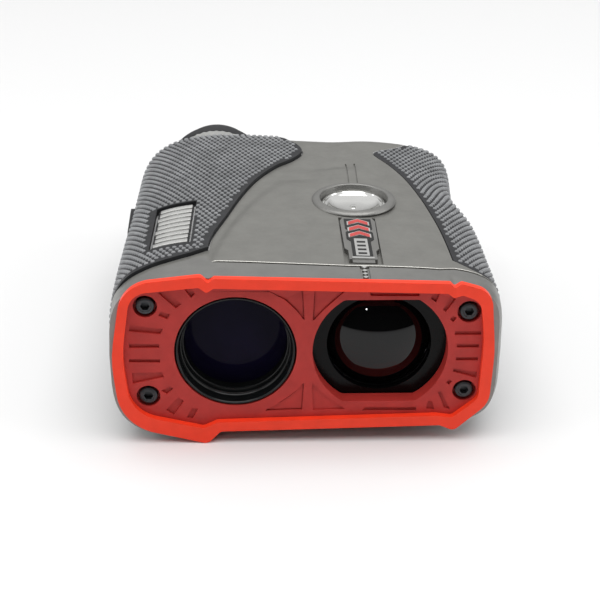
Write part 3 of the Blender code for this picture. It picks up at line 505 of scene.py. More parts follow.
def loft(name, rings, mat=None, smooth=35.0):
    bm = bmesh.new()
    rows = [[bm.verts.new(Vector(p) * MM) for p in ring] for ring in rings]
    n = len(rings[0])
    for a, b in zip(rows, rows[1:]):
        for i in range(n):
            bm.faces.new((a[i], a[(i + 1) % n], b[(i + 1) % n], b[i]))
    bm.faces.new(list(reversed(rows[0])))
    bm.faces.new(rows[-1])
    return to_object(name, bm, mat, smooth)


def tube_loft(name, outer, inner, mat=None, smooth=35.0):
    bm = bmesh.new()
    out = [[bm.verts.new(Vector(p) * MM) for p in ring] for ring in outer]
    inn = [[bm.verts.new(Vector(p) * MM) for p in ring] for ring in inner]
    n = len(outer[0])
    for i in range(n):
        j = (i + 1) % n
        for rows in (out, inn):
            for a, b in zip(rows, rows[1:]):
                bm.faces.new((a[i], a[j], b[j], b[i]))
        bm.faces.new((out[0][i], out[0][j], inn[0][j], inn[0][i]))
        bm.faces.new((out[-1][i], out[-1][j], inn[-1][j], inn[-1][i]))
    return to_object(name, bm, mat, smooth)


def smoothstep(u):
    u = max(0.0, min(1.0, u))
    return u * u * (3 - 2 * u)


# --------------------------------------------------------------- materials
class Nodes:
    """A material's node tree, with short calls for its nodes."""

    def __init__(self, name, base, rough, metal=0.0, **sockets):
        self.mat = bpy.data.materials.new(name)
        self.mat.use_nodes = True
        self.tree = self.mat.node_tree
        self.shader = self.tree.nodes["Principled BSDF"]
        self.set(Roughness=rough, Metallic=metal)
        self.shader.inputs["Base Color"].default_value = (*base, 1)
        for key, value in sockets.items():
            self.shader.inputs[key.replace("_", " ")].default_value = value
        self.base = base
        self.rough = rough
        self.coord = self.tree.nodes.new("ShaderNodeTexCoord").outputs["Object"]

    def set(self, **sockets):
        for key, value in sockets.items():
            self.shader.inputs[key.replace("_", " ")].default_value = value

    def noise(self, scale, detail=3.0, rough=0.55, stretch=(1, 1, 1)):
        node = self.tree.nodes.new("ShaderNodeTexNoise")
        node.inputs["Scale"].default_value = scale
        node.inputs["Detail"].default_value = detail
        node.inputs["Roughness"].default_value = rough
        if stretch == (1, 1, 1):
            self.tree.links.new(self.coord, node.inputs["Vector"])
        else:
            mapping = self.tree.nodes.new("ShaderNodeMapping")
            mapping.inputs["Scale"].default_value = stretch
            self.tree.links.new(self.coord, mapping.inputs["Vector"])
            self.tree.links.new(mapping.outputs["Vector"], node.inputs["Vector"])
        return node.outputs["Fac"]

    def ramp(self, value, stops):
        node = self.tree.nodes.new("ShaderNodeValToRGB")
        node.color_ramp.elements[0].position = stops[0][0]
        node.color_ramp.elements[0].color = (*stops[0][1], 1)
        node.color_ramp.elements[1].position = stops[-1][0]
        node.color_ramp.elements[1].color = (*stops[-1][1], 1)
        for at, color in stops[1:-1]:
            node.color_ramp.elements.new(at).color = (*color, 1)
        self.tree.links.new(value, node.inputs["Fac"])
        return node.outputs["Color"]

    def fit(self, value, low, high, a=0.3, b=0.7):
        node = self.tree.nodes.new("ShaderNodeMapRange")
        for key, number in (("From Min", a), ("From Max", b), ("To Min", low), ("To Max", high)):
            node.inputs[key].default_value = number
        self.tree.links.new(value, node.inputs["Value"])
        return node.outputs["Result"]

    def color(self, value, spread=0.12, a=0.3, b=0.7):
        """Base colour that varies a little about its mean with the value."""
        low = [c * (1 - spread) for c in self.base]
        high = [c * (1 + spread) for c in self.base]
        out = self.ramp(value, [(a, low), (b, high)])
        self.tree.links.new(out, self.shader.inputs["Base Color"])
        return self

    def vary(self, value, spread=0.06, a=0.3, b=0.7):
        out = self.fit(value, self.rough - spread, self.rough + spread, a, b)
        self.tree.links.new(out, self.shader.inputs["Roughness"])
        return self

    def bump(self, value, depth, strength=1.0):
        node = self.tree.nodes.new("ShaderNodeBump")
        node.inputs["Strength"].default_value = strength
        node.inputs["Distance"].default_value = depth * MM
        self.tree.links.new(value, node.inputs["Height"])
        normal = self.shader.inputs["Normal"]
        if normal.is_linked:
            self.tree.links.new(normal.links[0].from_socket, node.inputs["Normal"])
        self.tree.links.new(node.outputs["Normal"], normal)
        return self


def grained(name, base, rough, metal=0.0, grain=5200, depth=0.02, spread=0.10, soft=260, **sockets):
    """Moulded or painted surface: slow tone drift, fine grain in bump and roughness."""
    n = Nodes(name, base, rough, metal, **sockets)
    n.color(n.noise(soft, 4), spread)
    n.vary(n.noise(soft * 3.1, 5), 0.05)
    n.bump(n.noise(grain, 4, 0.6), depth)
    return n


GUN = grained("gunmetal_satin", (0.235, 0.232, 0.216), 0.40, 0.6, grain=6500, depth=0.012, spread=0.07)
RING_GREY = grained("ring_grey_satin", (0.34, 0.34, 0.33), 0.42, 0.2, grain=5200, depth=0.01, spread=0.08)
GUN_DARK = grained("gunmetal_collar", (0.222, 0.220, 0.210), 0.38, 0.6, grain=6500, depth=0.010, spread=0.07)
RED = grained("rim_orange_red", (0.90, 0.046, 0.014), 0.42, 0.0, grain=3800, depth=0.010, spread=0.05, Specular_IOR_Level=0.30)
PLATE = grained("face_dull_red", (0.43, 0.032, 0.026), 0.50, 0.0, grain=4200, depth=0.028, spread=0.10, Specular_IOR_Level=0.28)
GRIP = grained("grip_rubber", (0.013, 0.0135, 0.0155), 0.55, 0.0, grain=3500, depth=0.03, spread=0.25)
# light grey for the raised grip lozenges: a painted highlight on the same rubber as the near-black grip
GRIP_DASH_HIGHLIGHT = grained("grip_rubber_raised_painted_highlight", (0.280, 0.286, 0.294), 0.36, 0.0, grain=3500, depth=0.02, spread=0.22)
BLACK = grained("matt_black", (0.012, 0.012, 0.013), 0.55, 0.0, grain=4200, depth=0.02, spread=0.2)
BLACK_GLOSS = grained("satin_black", (0.005, 0.0055, 0.0055), 0.20, 0.0, grain=2600, depth=0.006, spread=0.2, Specular_IOR_Level=0.28)
MASK_BLACK = grained("surround_black", (0.0022, 0.0022, 0.0024), 0.24, 0.0, grain=2600, depth=0.004, spread=0.2, Specular_IOR_Level=0.12)
# light grey metal for the seam bead: a painted highlight along the front edge of the shell
SEAM_HIGHLIGHT = grained("seam_painted_highlight", (0.62, 0.61, 0.57), 0.30, 0.7, grain=4200, depth=0.004, spread=0.06)
SCREW = grained("screw_black", (0.045, 0.047, 0.050), 0.42, 0.7, grain=5200, depth=0.012, spread=0.2)
RUBBER = grained("soft_rubber", (0.020, 0.020, 0.022), 0.70, 0.0, grain=3000, depth=0.03, spread=0.2)
CHROME = grained("chrome_polished", (0.80, 0.80, 0.78), 0.10, 1.0, grain=900, depth=0.003, spread=0.03)
SILVER = grained("silver_satin", (0.74, 0.74, 0.72), 0.30, 0.85, grain=4200, depth=0.01, spread=0.08)
STEEL = grained("steel_brushed", (0.50, 0.50, 0.51), 0.30, 1.0, grain=4200, depth=0.008, spread=0.08)
BRASS = grained("brass_plain", (0.62, 0.45, 0.20), 0.32, 1.0, grain=4200, depth=0.008, spread=0.08)
ENAMEL = grained("enamel_red", (0.50, 0.045, 0.04), 0.30, 0.0, grain=3200, depth=0.006, spread=0.12)
BOARD = grained("circuit_board", (0.012, 0.13, 0.045), 0.45, 0.0, grain=1800, depth=0.02, spread=0.3, soft=700)
CELL = grained("cell_sleeve", (0.040, 0.050, 0.085), 0.28, 0.0, grain=1500, depth=0.01, spread=0.15)

# coated lenses: the violet base colour is a painted reflection of the coating, with the real specular kept low
LENS_VIOLET_REFLECTION = Nodes("lens_painted_violet_reflection", (0.0052, 0.0040, 0.0150), 0.03, 0.0, IOR=1.45, Specular_IOR_Level=0.06)
LENS_VIOLET_REFLECTION.color(LENS_VIOLET_REFLECTION.noise(90, 2), 0.25).vary(LENS_VIOLET_REFLECTION.noise(400, 3), 0.012)
LENS_R = Nodes("lens_dark", (0.0016, 0.0016, 0.0018), 0.02, 0.0, IOR=1.5, Specular_IOR_Level=0.33)
LENS_R.color(LENS_R.noise(90, 2), 0.25).vary(LENS_R.noise(400, 3), 0.008)
CLEAR = Nodes("glass_clear", (0.55, 0.62, 0.64), 0.04, 0.0, IOR=1.5)
CLEAR.color(CLEAR.noise(120, 2), 0.08).vary(CLEAR.noise(500, 3), 0.015)


# ------------------------------------------------------------ fine stations
def fine_stations(first, step=1.25):
    n = int((S_ROUND - first) / step)
    out = [first + (S_ROUND - first) * k / n for k in range(n)]
    out += [S_ROUND + (S_REAR - S_ROUND) * math.sin(math.pi / 2 * k / 16) for k in range(17)]
    return out


def distance(line, x, y):
    """Signed distance to a plan line, positive on its left when going along it."""
    best, sign = 1e9, 1
    for (x0, y0), (x1, y1) in zip(line, line[1:]):
        dx, dy = x1 - x0, y1 - y0
        t = max(0.0, min(1.0, ((x - x0) * dx + (y - y0) * dy) / (dx * dx + dy * dy)))
        d = math.hypot(x - x0 - t * dx, y - y0 - t * dy)
        if d < best:
            best, sign = d, (1 if dx * (y - y0) - dy * (x - x0) > 0 else -1)
    return best * sign


# plan line of the soft step round the raised middle panel
BOX_X = (CAD_BOX[0][0] / MM, CAD_BOX[1][0] / MM)
CREASE = [(-19.6, -52), (-18.4, -43), (-16.9, -36), (-15.1, -29), (-12.9, -22), (-10.4, -15), (-7.6, -9.2),
          (-4.2, -3.4), (-0.4, 1.2), (4.0, 4.9), (9.1, 7.4), (14.3, 8.2), (20, 8.0)]


def relief(x, y):
    """Height added to the upper side face."""
    z = -0.80 * smoothstep((distance(CREASE, x, y) + 0.2) / 2.3) * smoothstep((19 - x) / 12)
    return z


def shaped(rings):
    out = []
    for ring in rings:
        row = []
        for x, y, z in ring:
            if z > Z_MID + 8:
                z += relief(x, y) * smoothstep((z - Z_MID - 8) / 6)
            row.append((x, y, z))
        out.append(row)
    return out


def body_rings(off, stations, side=16, mid=46, sunk=0.0, shift=0.0):
    rings = []
    for s in stations:
        up, down = body_angles(s, off, side, mid, shift=shift)
        lobed = 1 if s < LOBE_END and off < WALL else 0
        rings.append([section_point(t, s, off + (sunk if zone else 0.0), zone * lobed, slant)
                      for t, zone in up + down])
    return rings


def ahead_of(name, table, shift):
    line = [(x, linear_table(table, x) + shift) for x in [p[0] for p in table]]
    outline = [(-60, -75)] + [(60, -75)] + [(60, line[-1][1])] + line[::-1] + [(-60, line[0][1])]
    return plate(name, [outline], 70, facing_up(-10))


def grip_loops(side, inner, outer, edge, stations, n=30):
    table = LEFT_GRIP if side < 0 else RIGHT_GRIP
    rings = []
    for s in stations:
        gx = lerp_table(table, s) + side * edge
        loops = []
        for off, bent in ((outer, False), (inner, True)):
            a = angle_at(gx, s, off)
            stop = math.pi if side < 0 else 0.0
            flat = flat_angle(side)
            b = max(a + 0.02, flat) if side < 0 else min(a - 0.02, flat)
            half = spread(a, b, 8)[:-1] + spread(b, stop, n)
            ts = half + [2 * stop - t for t in reversed(half[:-1])]
            row = [section_point(t, s, off, 0 if bent else side, slant) for t in ts]
            if off > -1:
                row = [(x, y, max(z, 0.0)) for x, y, z in row]
            loops.append(list(reversed(row)) if bent else row)
        rings.append(loops[0] + loops[1])
    return rings


# ------------------------------------------------------------------ shell
GRIP_FINE = [s for s in fine_stations(-48.5, 1.15) if s < 32.0] + [32.6]
POCKET_FINE = [s for s in fine_stations(-48.4, 1.3) if s < 32.2] + [32.9]
seam_cut = ahead_of("seam_cut", SEAM, 0.26)
grip_cut = ahead_of("grip_cut", GRIP_FRONT, 0.0)
pocket_cut = ahead_of("pocket_cut", GRIP_FRONT, -GAP)
pockets = [loft("pocket", grip_loops(side, GRIP_T, -3.0, -GAP, POCKET_FINE)) for side in (-1, 1)]
for pocket in pockets:
    cut(pocket, pocket_cut)
cavity = loft("cavity", body_rings(WALL, [-60, -38, -26, -14, -3, 6, 12.5, 18, 25.5, 29, 31.8], 3, 4,
                                   sunk=GRIP_T, shift=3.2))
eye_bore = turned("eye_bore", [(0, 45), (11.6, 45), (11.6, 20), (0, 20)], (EYE_X, 0, AXIS_Z))
eye_room = turned("eye_room", [(0, 45), (13.8, 45), (13.8, 20), (0, 20)], (EYE_X, 0, AXIS_Z))
battery_bore = turned("battery_bore", [(0, 45), (10.3, 45), (10.3, -4), (0, -4)], (BAT_X, 0, BAT_Z))
battery_room = turned("battery_room", [(0, 45), (12.1, 45), (12.1, 20), (0, 20)], (BAT_X, 0, BAT_Z))
mode_bore = turned("mode_bore", [(0, 45), (8.9, 45), (8.9, 30), (0, 30)], (MODE_X, MODE_Y, 0), axis="Z")
eye_boss = turned("eye_boss", [(0, 36.2), (13.0, 36.2), (13.4, 35.8), (13.4, 24), (0, 24)], (EYE_X, 0, AXIS_Z))
battery_boss = turned("battery_boss", [(0, 34.0), (11.3, 34.0), (11.7, 33.6), (11.7, 24), (0, 24)], (BAT_X, 0, BAT_Z))
fire_hole = plate("fire_hole", [stadium(FIRE_Y, Z_MID, FIRE_L + 0.6, FIRE_W + 0.6, 20)], 12, facing_side(-46))


def ribbon(name, edges, stations, top, bottom, cross=8, mat=None):
    """Strip that follows the upper side face between two plan edges."""
    rings = []
    for s in stations:
        a, b = edges(s)
        xs = spread(a, b, cross)
        up = [(x, s, surface_z(x, s) + relief(x, s) + top) for x in xs]
        low = [(x, s, surface_z(x, s) + relief(x, s) + bottom) for x in xs]
        rings.append(up + list(reversed(low)))
    return loft(name, rings, mat)


side_pocket = ribbon("side_pocket", lambda s: (7.6, 15.6), spread(-45.4, -21.7, 12), 3.0, -0.9)
plate_pocket = ribbon("plate_pocket", lambda s: (-32.8 + (s + 34) * 0.035, -24.0 + (s + 34) * 0.035),
                      spread(-34.8, -12.6, 12), 3.0, -0.75)
grooves = [ribbon(f"groove_{k}", lambda s, k=k: (12.2 + k * 1.0 - 0.17 + (s - 4) * 0.01,
                                                 12.2 + k * 1.0 + 0.17 + (s - 4) * 0.01),
                  spread(-5.0, 11.5, 10), 2.0, -0.28, 2) for k in (-1, 1)]
plate_room = plate("plate_room", [grow(RIM_IN, 0.78)], 9.4, facing_front(-55.5))

shells = []
for name, low in (("shell_upper", False), ("shell_lower", True)):
    stations = fine_stations(-50.0, 1.25)
    shell = loft(name, shaped(body_rings(0.0, stations)), GUN, 40)
    combine(shell, [eye_boss, battery_boss], "UNION")
    half = (box("half", (-60, -70, -5), (60, 60, Z_MID - SPLIT)) if low
            else box("half", (-60, -70, Z_MID + SPLIT), (60, 60, 50)))
    combine(shell, [half], "INTERSECT")
    cut(shell, seam_cut, cavity, *pockets, eye_bore, battery_bore, fire_hole, plate_room)
    if not low:
        cut(shell, mode_bore, side_pocket, *grooves)
    remove(half)
    shade(shell, 40)
    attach(shell, "chassis")
    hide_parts("housing_right" if low else "housing_left")
    shells.append(shell)

# rolled front edge of the shell along the seam: a thin bead, coloured light grey as a painted highlight
def seam_bead(name, shift, radius, sink, mat, x0=-39.6, x1=39.8, upper=True):
    pts = []
    corners = [p[0] for p in SEAM if x0 < p[0] < x1]
    xs = sorted(set([x0 + (x1 - x0) * k / 120 for k in range(121)] + corners))
    for x in xs:
        y = linear_table(SEAM, x) + shift
        pts.append(Vector((x, y, surface_z(x, y, 0, upper) + (relief(x, y) if upper else 0) - sink)))
    return wire(name, pts, radius, mat)


def wire(name, pts, radius, mat, sides=8):
    """Round wire along points, as a closed tube."""
    bm = bmesh.new()
    rows = []
    for i, p in enumerate(pts):
        d = (pts[min(i + 1, len(pts) - 1)] - pts[max(i - 1, 0)]).normalized()
        side = d.cross(Vector((0, 0, 1)))
        if side.length < 0.05:
            side = d.cross(Vector((0, 1, 0)))
        side.normalize()
        up = side.cross(d).normalized()
        rows.append([bm.verts.new((p + (side * math.cos(2 * math.pi * k / sides)
                                        + up * math.sin(2 * math.pi * k / sides)) * radius) * MM)
                     for k in range(sides)])
    for a, b in zip(rows, rows[1:]):
        for k in range(sides):
            j = (k + 1) % sides
            bm.faces.new((a[k], a[j], b[j], b[k]))
    bm.faces.new(list(reversed(rows[0])))
    bm.faces.new(rows[-1])
    return to_object(name, bm, mat, 60)


def put(obj, slot, body="chassis", *nodes):
    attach(obj, body)
    if nodes:
        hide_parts(*nodes)
    return obj


# the bead carries the light grey painted highlight colour
put(seam_bead("seam_edge", 0.26 + 0.14, 0.15, 0.03, SEAM_HIGHLIGHT, -38.0, 36.0), "gunmetal")

# ----------------------------------------------------------------- collar
COLLAR_S = spread(-52.6, -40, 24)


def collar_rings(off):
    rings = body_rings(off, COLLAR_S, 18, 60)
    if off > 0.1:
        return rings
    out = []
    for ring in rings:
        row = []
        for x, y, z in ring:
            if z > Z_MID + 8:
                fade = smoothstep((-42.0 - y) / 6)
                z -= 0.55 * math.exp(-((x + 20.2) / 0.75) ** 2) * smoothstep((y + 53.5) * -1 / 4 + 1.0)
                z -= 0.35 * math.exp(-((x - 29.6) / 0.8) ** 2) * smoothstep((-47.5 - y) / 3) * fade
            row.append((x, y, z))
        out.append(row)
    return out


collar = tube_loft("collar", collar_rings(0.0), collar_rings(1.35), GUN_DARK, 40)
line = [(x, linear_table(SEAM, x) - 0.26) for x in [p[0] for p in SEAM]]
behind = plate("behind_seam", [[(-60, line[0][1])] + line + [(60, line[-1][1]), (60, 0), (-60, 0)]], 70, facing_up(-10))
cut(collar, behind, plate_room)
trim_slot = ribbon("trim_slot", lambda s: (10.6, 12.5), [-53.2, -50, -46.2], 2.0, -0.35, 3)
cut(collar, trim_slot)
shade(collar, 40)
put(collar, "gunmetal", "chassis", "front_collar")

# small chain of lozenges in the slot of the collar
bm = bmesh.new()
for k in range(4):
    y = -51.9 + k * 1.55
    z = surface_z(11.5, y) - 0.02
    m = Matrix.Translation(Vector((11.5, y, z)) * MM) @ Matrix.Rotation(math.radians(45), 4, "Z") @ Matrix.Diagonal((0.80 * MM, 0.80 * MM, 0.5 * MM, 1))
    bmesh.ops.create_cube(bm, size=1.0, matrix=m)
put(to_object("collar_trim", bm, CHROME, None), "chrome")

# -------------------------------------------------------------------- rim
rim = plate("rim", [RIM_OUT, RIM_IN], 1.45, facing_front(Y_FRONT), RED, bevel=0.62, segments=5)
put(rim, "red_rim", "chassis", "front_rim")

# ------------------------------------------------------------- face plate
POCKETS = [
    [(-30.1, 34.1), (-26.6, 30.6), (-25.5, 31.6), (-28.7, 34.8)],
    [(-24.9, 35.0), (-23.5, 33.0), (-22.7, 33.9), (-23.5, 35.2)],
    [(-30.2, 29.0), (-28.4, 28.2), (-27.8, 29.3), (-29.6, 30.0)],
    [(-36.2, 25.5), (-29.9, 24.8), (-29.3, 26.0), (-35.9, 27.0)],
    [(-36.3, 22.7), (-30.2, 22.6), (-30.2, 21.7), (-36.3, 21.7)],
    [(-36.4, 19.2), (-30.1, 19.1), (-30.1, 18.3), (-36.4, 18.4)],
    [(-35.9, 15.9), (-29.8, 16.1), (-29.4, 14.9), (-35.8, 13.4)],
    [(-30.1, 11.7), (-28.9, 10.9), (-27.6, 12.1), (-28.2, 12.8)],
    [(-26.6, 10.2), (-25.4, 9.2), (-27.6, 5.9), (-29.2, 7.1)],
    [(-23.8, 7.6), (-22.6, 7.3), (-23.7, 4.9), (-24.9, 5.3)],
    [(24.7, 32.5), (25.8, 31.7), (26.5, 33.6), (25.2, 34.2)],
    [(27.3, 30.0), (27.9, 29.5), (29.8, 32.4), (28.7, 33.3)],
    [(28.8, 27.9), (29.5, 27.1), (30.2, 28.1), (29.4, 28.6)],
    [(30.0, 25.2), (35.3, 25.1), (35.4, 24.2), (30.0, 24.2)],
    [(30.5, 22.2), (35.1, 22.1), (35.1, 21.3), (30.6, 21.3)],
    [(30.5, 19.1), (35.0, 19.1), (35.1, 18.3), (30.6, 18.3)],
    [(30.1, 15.7), (34.9, 14.2), (35.1, 15.6), (30.2, 16.5)],
    [(28.8, 13.2), (29.4, 12.6), (30.0, 13.4), (29.3, 14.0)],
    [(27.2, 10.9), (27.8, 11.2), (29.9, 6.8), (28.7, 7.1)],
    [(25.2, 8.8), (26.1, 8.8), (26.6, 6.7), (24.9, 6.9)],
    [(12.0, 34.3), (22.7, 34.3), (22.3, 33.1), (12.6, 33.2)],
    [(11.5, 6.6), (22.8, 6.5), (22.8, 7.4), (12.3, 7.5)]]
TRIANGLES = [
    [(-8.5, 34.7), (-4.7, 32.4), (-2.3, 29.9), (-0.7, 27.8), (-1.1, 34.6)],
    [(1.2, 34.6), (1.0, 27.7), (3.4, 30.3), (5.4, 32.3), (7.7, 34.6)],
    [(-0.6, 13.3), (-1.0, 6.9), (-8.7, 6.7), (-5.6, 8.8), (-2.9, 10.9)],
    [(1.0, 13.3), (1.3, 6.8), (8.0, 7.0), (5.9, 8.7), (3.3, 10.9)]]
window = [(x, max(AXIS_Z - REC_FLAT, min(AXIS_Z + REC_FLAT, z))) for x, z in circle(REC_X, AXIS_Z, REC_R, 144, 0.5)]
opening = []
for p in window:
    if len(opening) > 1 and p[1] == opening[-1][1] == opening[-2][1]:
        opening[-1] = p
    else:
        opening.append(p)
face = plate("face", [grow(RIM_IN, 0.45), circle(OBJ_X, AXIS_Z, BORE_OBJ, 144), opening]
             + [circle(x, z, SCREW_SHANK_R + GAP, 24) for x, z in SCREWS], 3.3, facing_front(Y_PLATE), PLATE)
for i, (x, z) in enumerate(SCREWS):
    cut(face, turned("sink", [(0, -50.6), (SCREW_BORE_R, -50.6), (SCREW_BORE_R, -56), (0, -56)], (x, 0, z), steps=48),
        drop=True)
for k, quad in enumerate(POCKETS):
    cut(face, plate("pocket_shape", [quad], 3.0, facing_front(Y_PLATE - 2.45)), drop=True)
for tri in TRIANGLES:
    outer = plate("tri_shape", [tri], 3.0, facing_front(Y_PLATE - 2.62))
    cut(face, outer, drop=True)
    groove = plate("tri_groove", [tri, grow(tri, -0.26)], 3.0, facing_front(Y_PLATE - 2.35))
    cut(face, groove, drop=True)
soften(face, 0.10, 2, 50, 35)
put(face, "red_plate", "chassis", "face_plate")

for i, (x, z) in enumerate(SCREWS):
    head = [(0, -46.6), (SCREW_SHANK_R, -46.6), (SCREW_SHANK_R, -50.9), (SCREW_HEAD_R, -50.9), (SCREW_HEAD_R, -52.0),
            (SCREW_HEAD_R - 0.12, -52.28), (SCREW_HEAD_R - 0.42, -52.45), (1.30, -52.45), (1.18, -52.36), (0, -52.36)]
    screw = turned(f"screw_{i + 1}", head, (x, 0, z), SCREW, steps=64)
    cut(screw, turned("hex", [(0, -51.2), (0.98, -51.2), (0.98, -53.5), (0, -53.5)], (x, 0, z), steps=6), drop=True)
    shade(screw, 30)
    put(screw, "black_metal", "chassis", f"face_screw_{i + 1}")

# ----------------------------------------------------------------- optics
barrel = turned("barrel", [
    (12.0, -26.0), (13.0, -26.0), (13.0, -48.9), (12.2, -48.9), (12.2, -52.25), (12.1, -52.4), (11.85, -52.4),
    (11.70, -52.25), (11.42, -51.2), (11.42, -50.1), (11.30, -49.95), (11.12, -49.9), (11.02, -49.75), (11.02, -48.5),
    (10.92, -48.35), (10.74, -48.3), (10.66, -48.15), (10.62, -46.2), (10.8, -46.0), (12.0, -46.0)],
    (OBJ_X, 0, AXIS_Z), BLACK_GLOSS, steps=160, smooth=28)
put(barrel, "black_metal", "chassis", "objective_barrel")
# objective glass coloured with the painted violet reflection
glass = turned("objective_glass", [(0, -41.6), (11.7, -41.9), (11.7, -45.6)]
               + [(min(r, 10.45), h) for r, h in dome(10.45, -45.6, -1.1, 16)], (OBJ_X, 0, AXIS_Z), LENS_VIOLET_REFLECTION, steps=128)
put(glass, "coated_glass", "chassis", "objective_lens")
receiver = turned("receiver_glass", [(0, -43.6), (10.6, -43.6), (10.6, -47.0)] + dome(10.6, -47.0, -4.2, 24)[1:],
                  (REC_X, 0, AXIS_Z), LENS_R, steps=128)
put(receiver, "coated_glass", "chassis", "receiver_lens")
mask = plate("receiver_surround", [rounded(MASK, 6), circle(REC_X, AXIS_Z, 10.8, 128)], 1.6, facing_front(-48.9), MASK_BLACK)
put(mask, "black_plastic", "chassis", "receiver_mask")

# ------------------------------------------------------------------ grips
def grip_outline_ok(side, x, y, z):
    """True where the raised texture runs: inside the grip's edges."""
    edge = lerp_table(LEFT_GRIP if side < 0 else RIGHT_GRIP, y)
    inside = (edge - x) if side < 0 else (x - edge)
    front = y - linear_table(GRIP_FRONT, x)
    if abs(z - Z_MID) > 8 and inside < 1.15:
        return False
    if front < 1.0 or y > 31.3:
        return False
    if side < 0:
        if z > Z_MID and -33.7 < x < -23.2 and -35.8 < y < -11.8:
            return False
        if x < -34 and abs(z - Z_MID) < 7.6 and abs(y - FIRE_Y) < 13.2:
            return False
        if math.hypot(x - EYE_X, z - AXIS_Z) < 14.6 and y > 24:
            return False
    elif math.hypot(x - BAT_X, z - BAT_Z) < 13 and y > 24:
        return False
    return True


def inside(q):
    return Vector((max(BOX_X[0] + 0.01, min(BOX_X[1] - 0.01, q.x)), q.y, max(0.03, q.z)))


def texture(name, side):
    """Staggered rows of small raised lozenges over a grip, one closed mesh, coloured light grey as a painted highlight.
    """
    bm = bmesh.new()
    pitch_y, pitch_a, half_a, half_y, rise, sink = 1.25, 1.40, 0.52, 0.40, 0.22, 0.20
    stop = math.pi if side < 0 else 0.0
    row = 0
    y = -43.0
    while y < 31.2:
        s = y
        for _ in range(3):
            s = y + (s - slant(side * 30, s))
        gx = lerp_table(LEFT_GRIP if side < 0 else RIGHT_GRIP, s)
        a = angle_at(gx, s, 0)
        n = 150
        ts = spread(a, 2 * stop - a, n)
        pts = [Vector(section_point(t, s, 0.0, side, slant)) for t in ts]
        run = [0.0]
        for p, q in zip(pts, pts[1:]):
            run.append(run[-1] + (q - p).length)
        middle = run[n // 2]
        first = math.ceil((run[0] - middle) / pitch_a) - 1
        last = math.floor((run[-1] - middle) / pitch_a) + 1
        i = 0
        for k in range(first, last + 1):
            at = middle + (k + (0.5 if row % 2 else 0.0)) * pitch_a
            if at < 0.6 or at > run[-1] - 0.6:
                continue
            while i < n - 1 and run[i + 1] < at:
                i += 1
            while i > 0 and run[i] > at:
                i -= 1
            f = (at - run[i]) / max(1e-6, run[i + 1] - run[i])
            p = pts[i].lerp(pts[i + 1], f)
            if not grip_outline_ok(side, p.x, p.y, p.z):
                continue
            along = (pts[i + 1] - pts[i]).normalized()
            length = Vector((0, 1, 0))
            out = along.cross(length).normalized()
            centre = Vector((0, p.y, Z_MID))
            if out.dot(p - centre) < 0:
                out = -out
            if p.z < 0.5:
                continue
            tall = min(rise, max(0.02, (abs(p.x) and (BOX_X[1] - abs(p.x) if p.x > 0 else abs(BOX_X[0]) - abs(p.x)) - 0.02)))
            base = [p + along * u * half_a + length * v * half_y - out * sink
                    for u, v in ((-1, -0.55), (-0.4, -1), (0.4, -1), (1, -0.55), (1, 0.55), (0.4, 1), (-0.4, 1), (-1, 0.55))]
            top = [p + along * u * half_a * 0.62 + length * v * half_y * 0.45 + out * tall
                   for u, v in ((-1, -0.5), (-0.4, -1), (0.4, -1), (1, -0.5), (1, 0.5), (0.4, 1), (-0.4, 1), (-1, 0.5))]
            vb = [bm.verts.new(inside(q) * MM) for q in base]
            vt = [bm.verts.new(inside(q) * MM) for q in top]
            bm.faces.new(vb[::-1])
            bm.faces.new(vt)
            for j in range(8):
                bm.faces.new((vb[j], vb[(j + 1) % 8], vt[(j + 1) % 8], vt[j]))
        y += pitch_y
        row += 1
    # the lozenges take the light grey painted highlight colour
    obj = to_object(name, bm, GRIP_DASH_HIGHLIGHT, 50)
    return obj


for side, name, node in ((-1, "grip_left", "grip_top"), (1, "grip_right", "grip_bottom")):
    grip = loft(name, grip_loops(side, GRIP_T - GAP, 0.06, 0.0, GRIP_FINE), GRIP, 40)
    cut(grip, grip_cut)
    if side < 0:
        cut(grip, fire_hole, eye_room, plate_pocket)
    else:
        cut(grip, battery_room)
    shade(grip, 40)
    put(grip, "grip_rubber", "chassis", node)
    put(texture(name + "_texture", side), "grip_rubber")

# ----------------------------------------------------------------- buttons
ring_base = surface_z(MODE_X, MODE_Y)
ring = turned("button_ring", [
    (MODE_HOLE_R + 0.35, ring_base + 1.0), (MODE_RING_R - 0.75, ring_base + 0.88), (MODE_RING_R - 0.3, ring_base + 0.68),
    (MODE_RING_R - 0.05, ring_base + 0.40), (MODE_RING_R, ring_base + 0.22), (8.6, ring_base + 0.1), (8.6, 33.6),
    (MODE_HOLE_R, 33.6), (MODE_HOLE_R, ring_base + 0.75), (MODE_HOLE_R + 0.12, ring_base + 0.93)],
    (MODE_X, MODE_Y, 0), GUN_DARK, axis="Z", steps=160, smooth=45)
put(ring, "gunmetal", "chassis", "mode_ring")
button = turned("button_dish", [
    (0, ring_base - 1.05), (0.7, ring_base - 1.08), (0.8, ring_base - 1.32), (2.4, ring_base - 1.30), (3.8, ring_base - 1.14),
    (4.9, ring_base - 0.86), (5.5, ring_base - 0.55), (5.7, ring_base - 0.40), (5.95, ring_base - 0.36),
    (6.1, ring_base - 0.52), (6.3, ring_base - 0.52), (6.5, ring_base - 0.30), (6.9, ring_base - 0.32), (7.2, ring_base - 0.62),
    (7.2, ring_base - 2.6), (2.2, ring_base - 2.6), (2.2, 32.9), (0, 32.9)],
    (MODE_X, MODE_Y, 0), CHROME, axis="Z", steps=144, smooth=40)
put(button, "chrome", "mode_button", "mode_button")
fire = plate("power_key", [stadium(FIRE_Y, Z_MID, FIRE_L, FIRE_W, 28)], 3.9, facing_side(-39.55), RUBBER, bevel=1.3, segments=6)
put(fire, "soft_rubber", "power_button", "power_button")
ridges = bmesh.new()
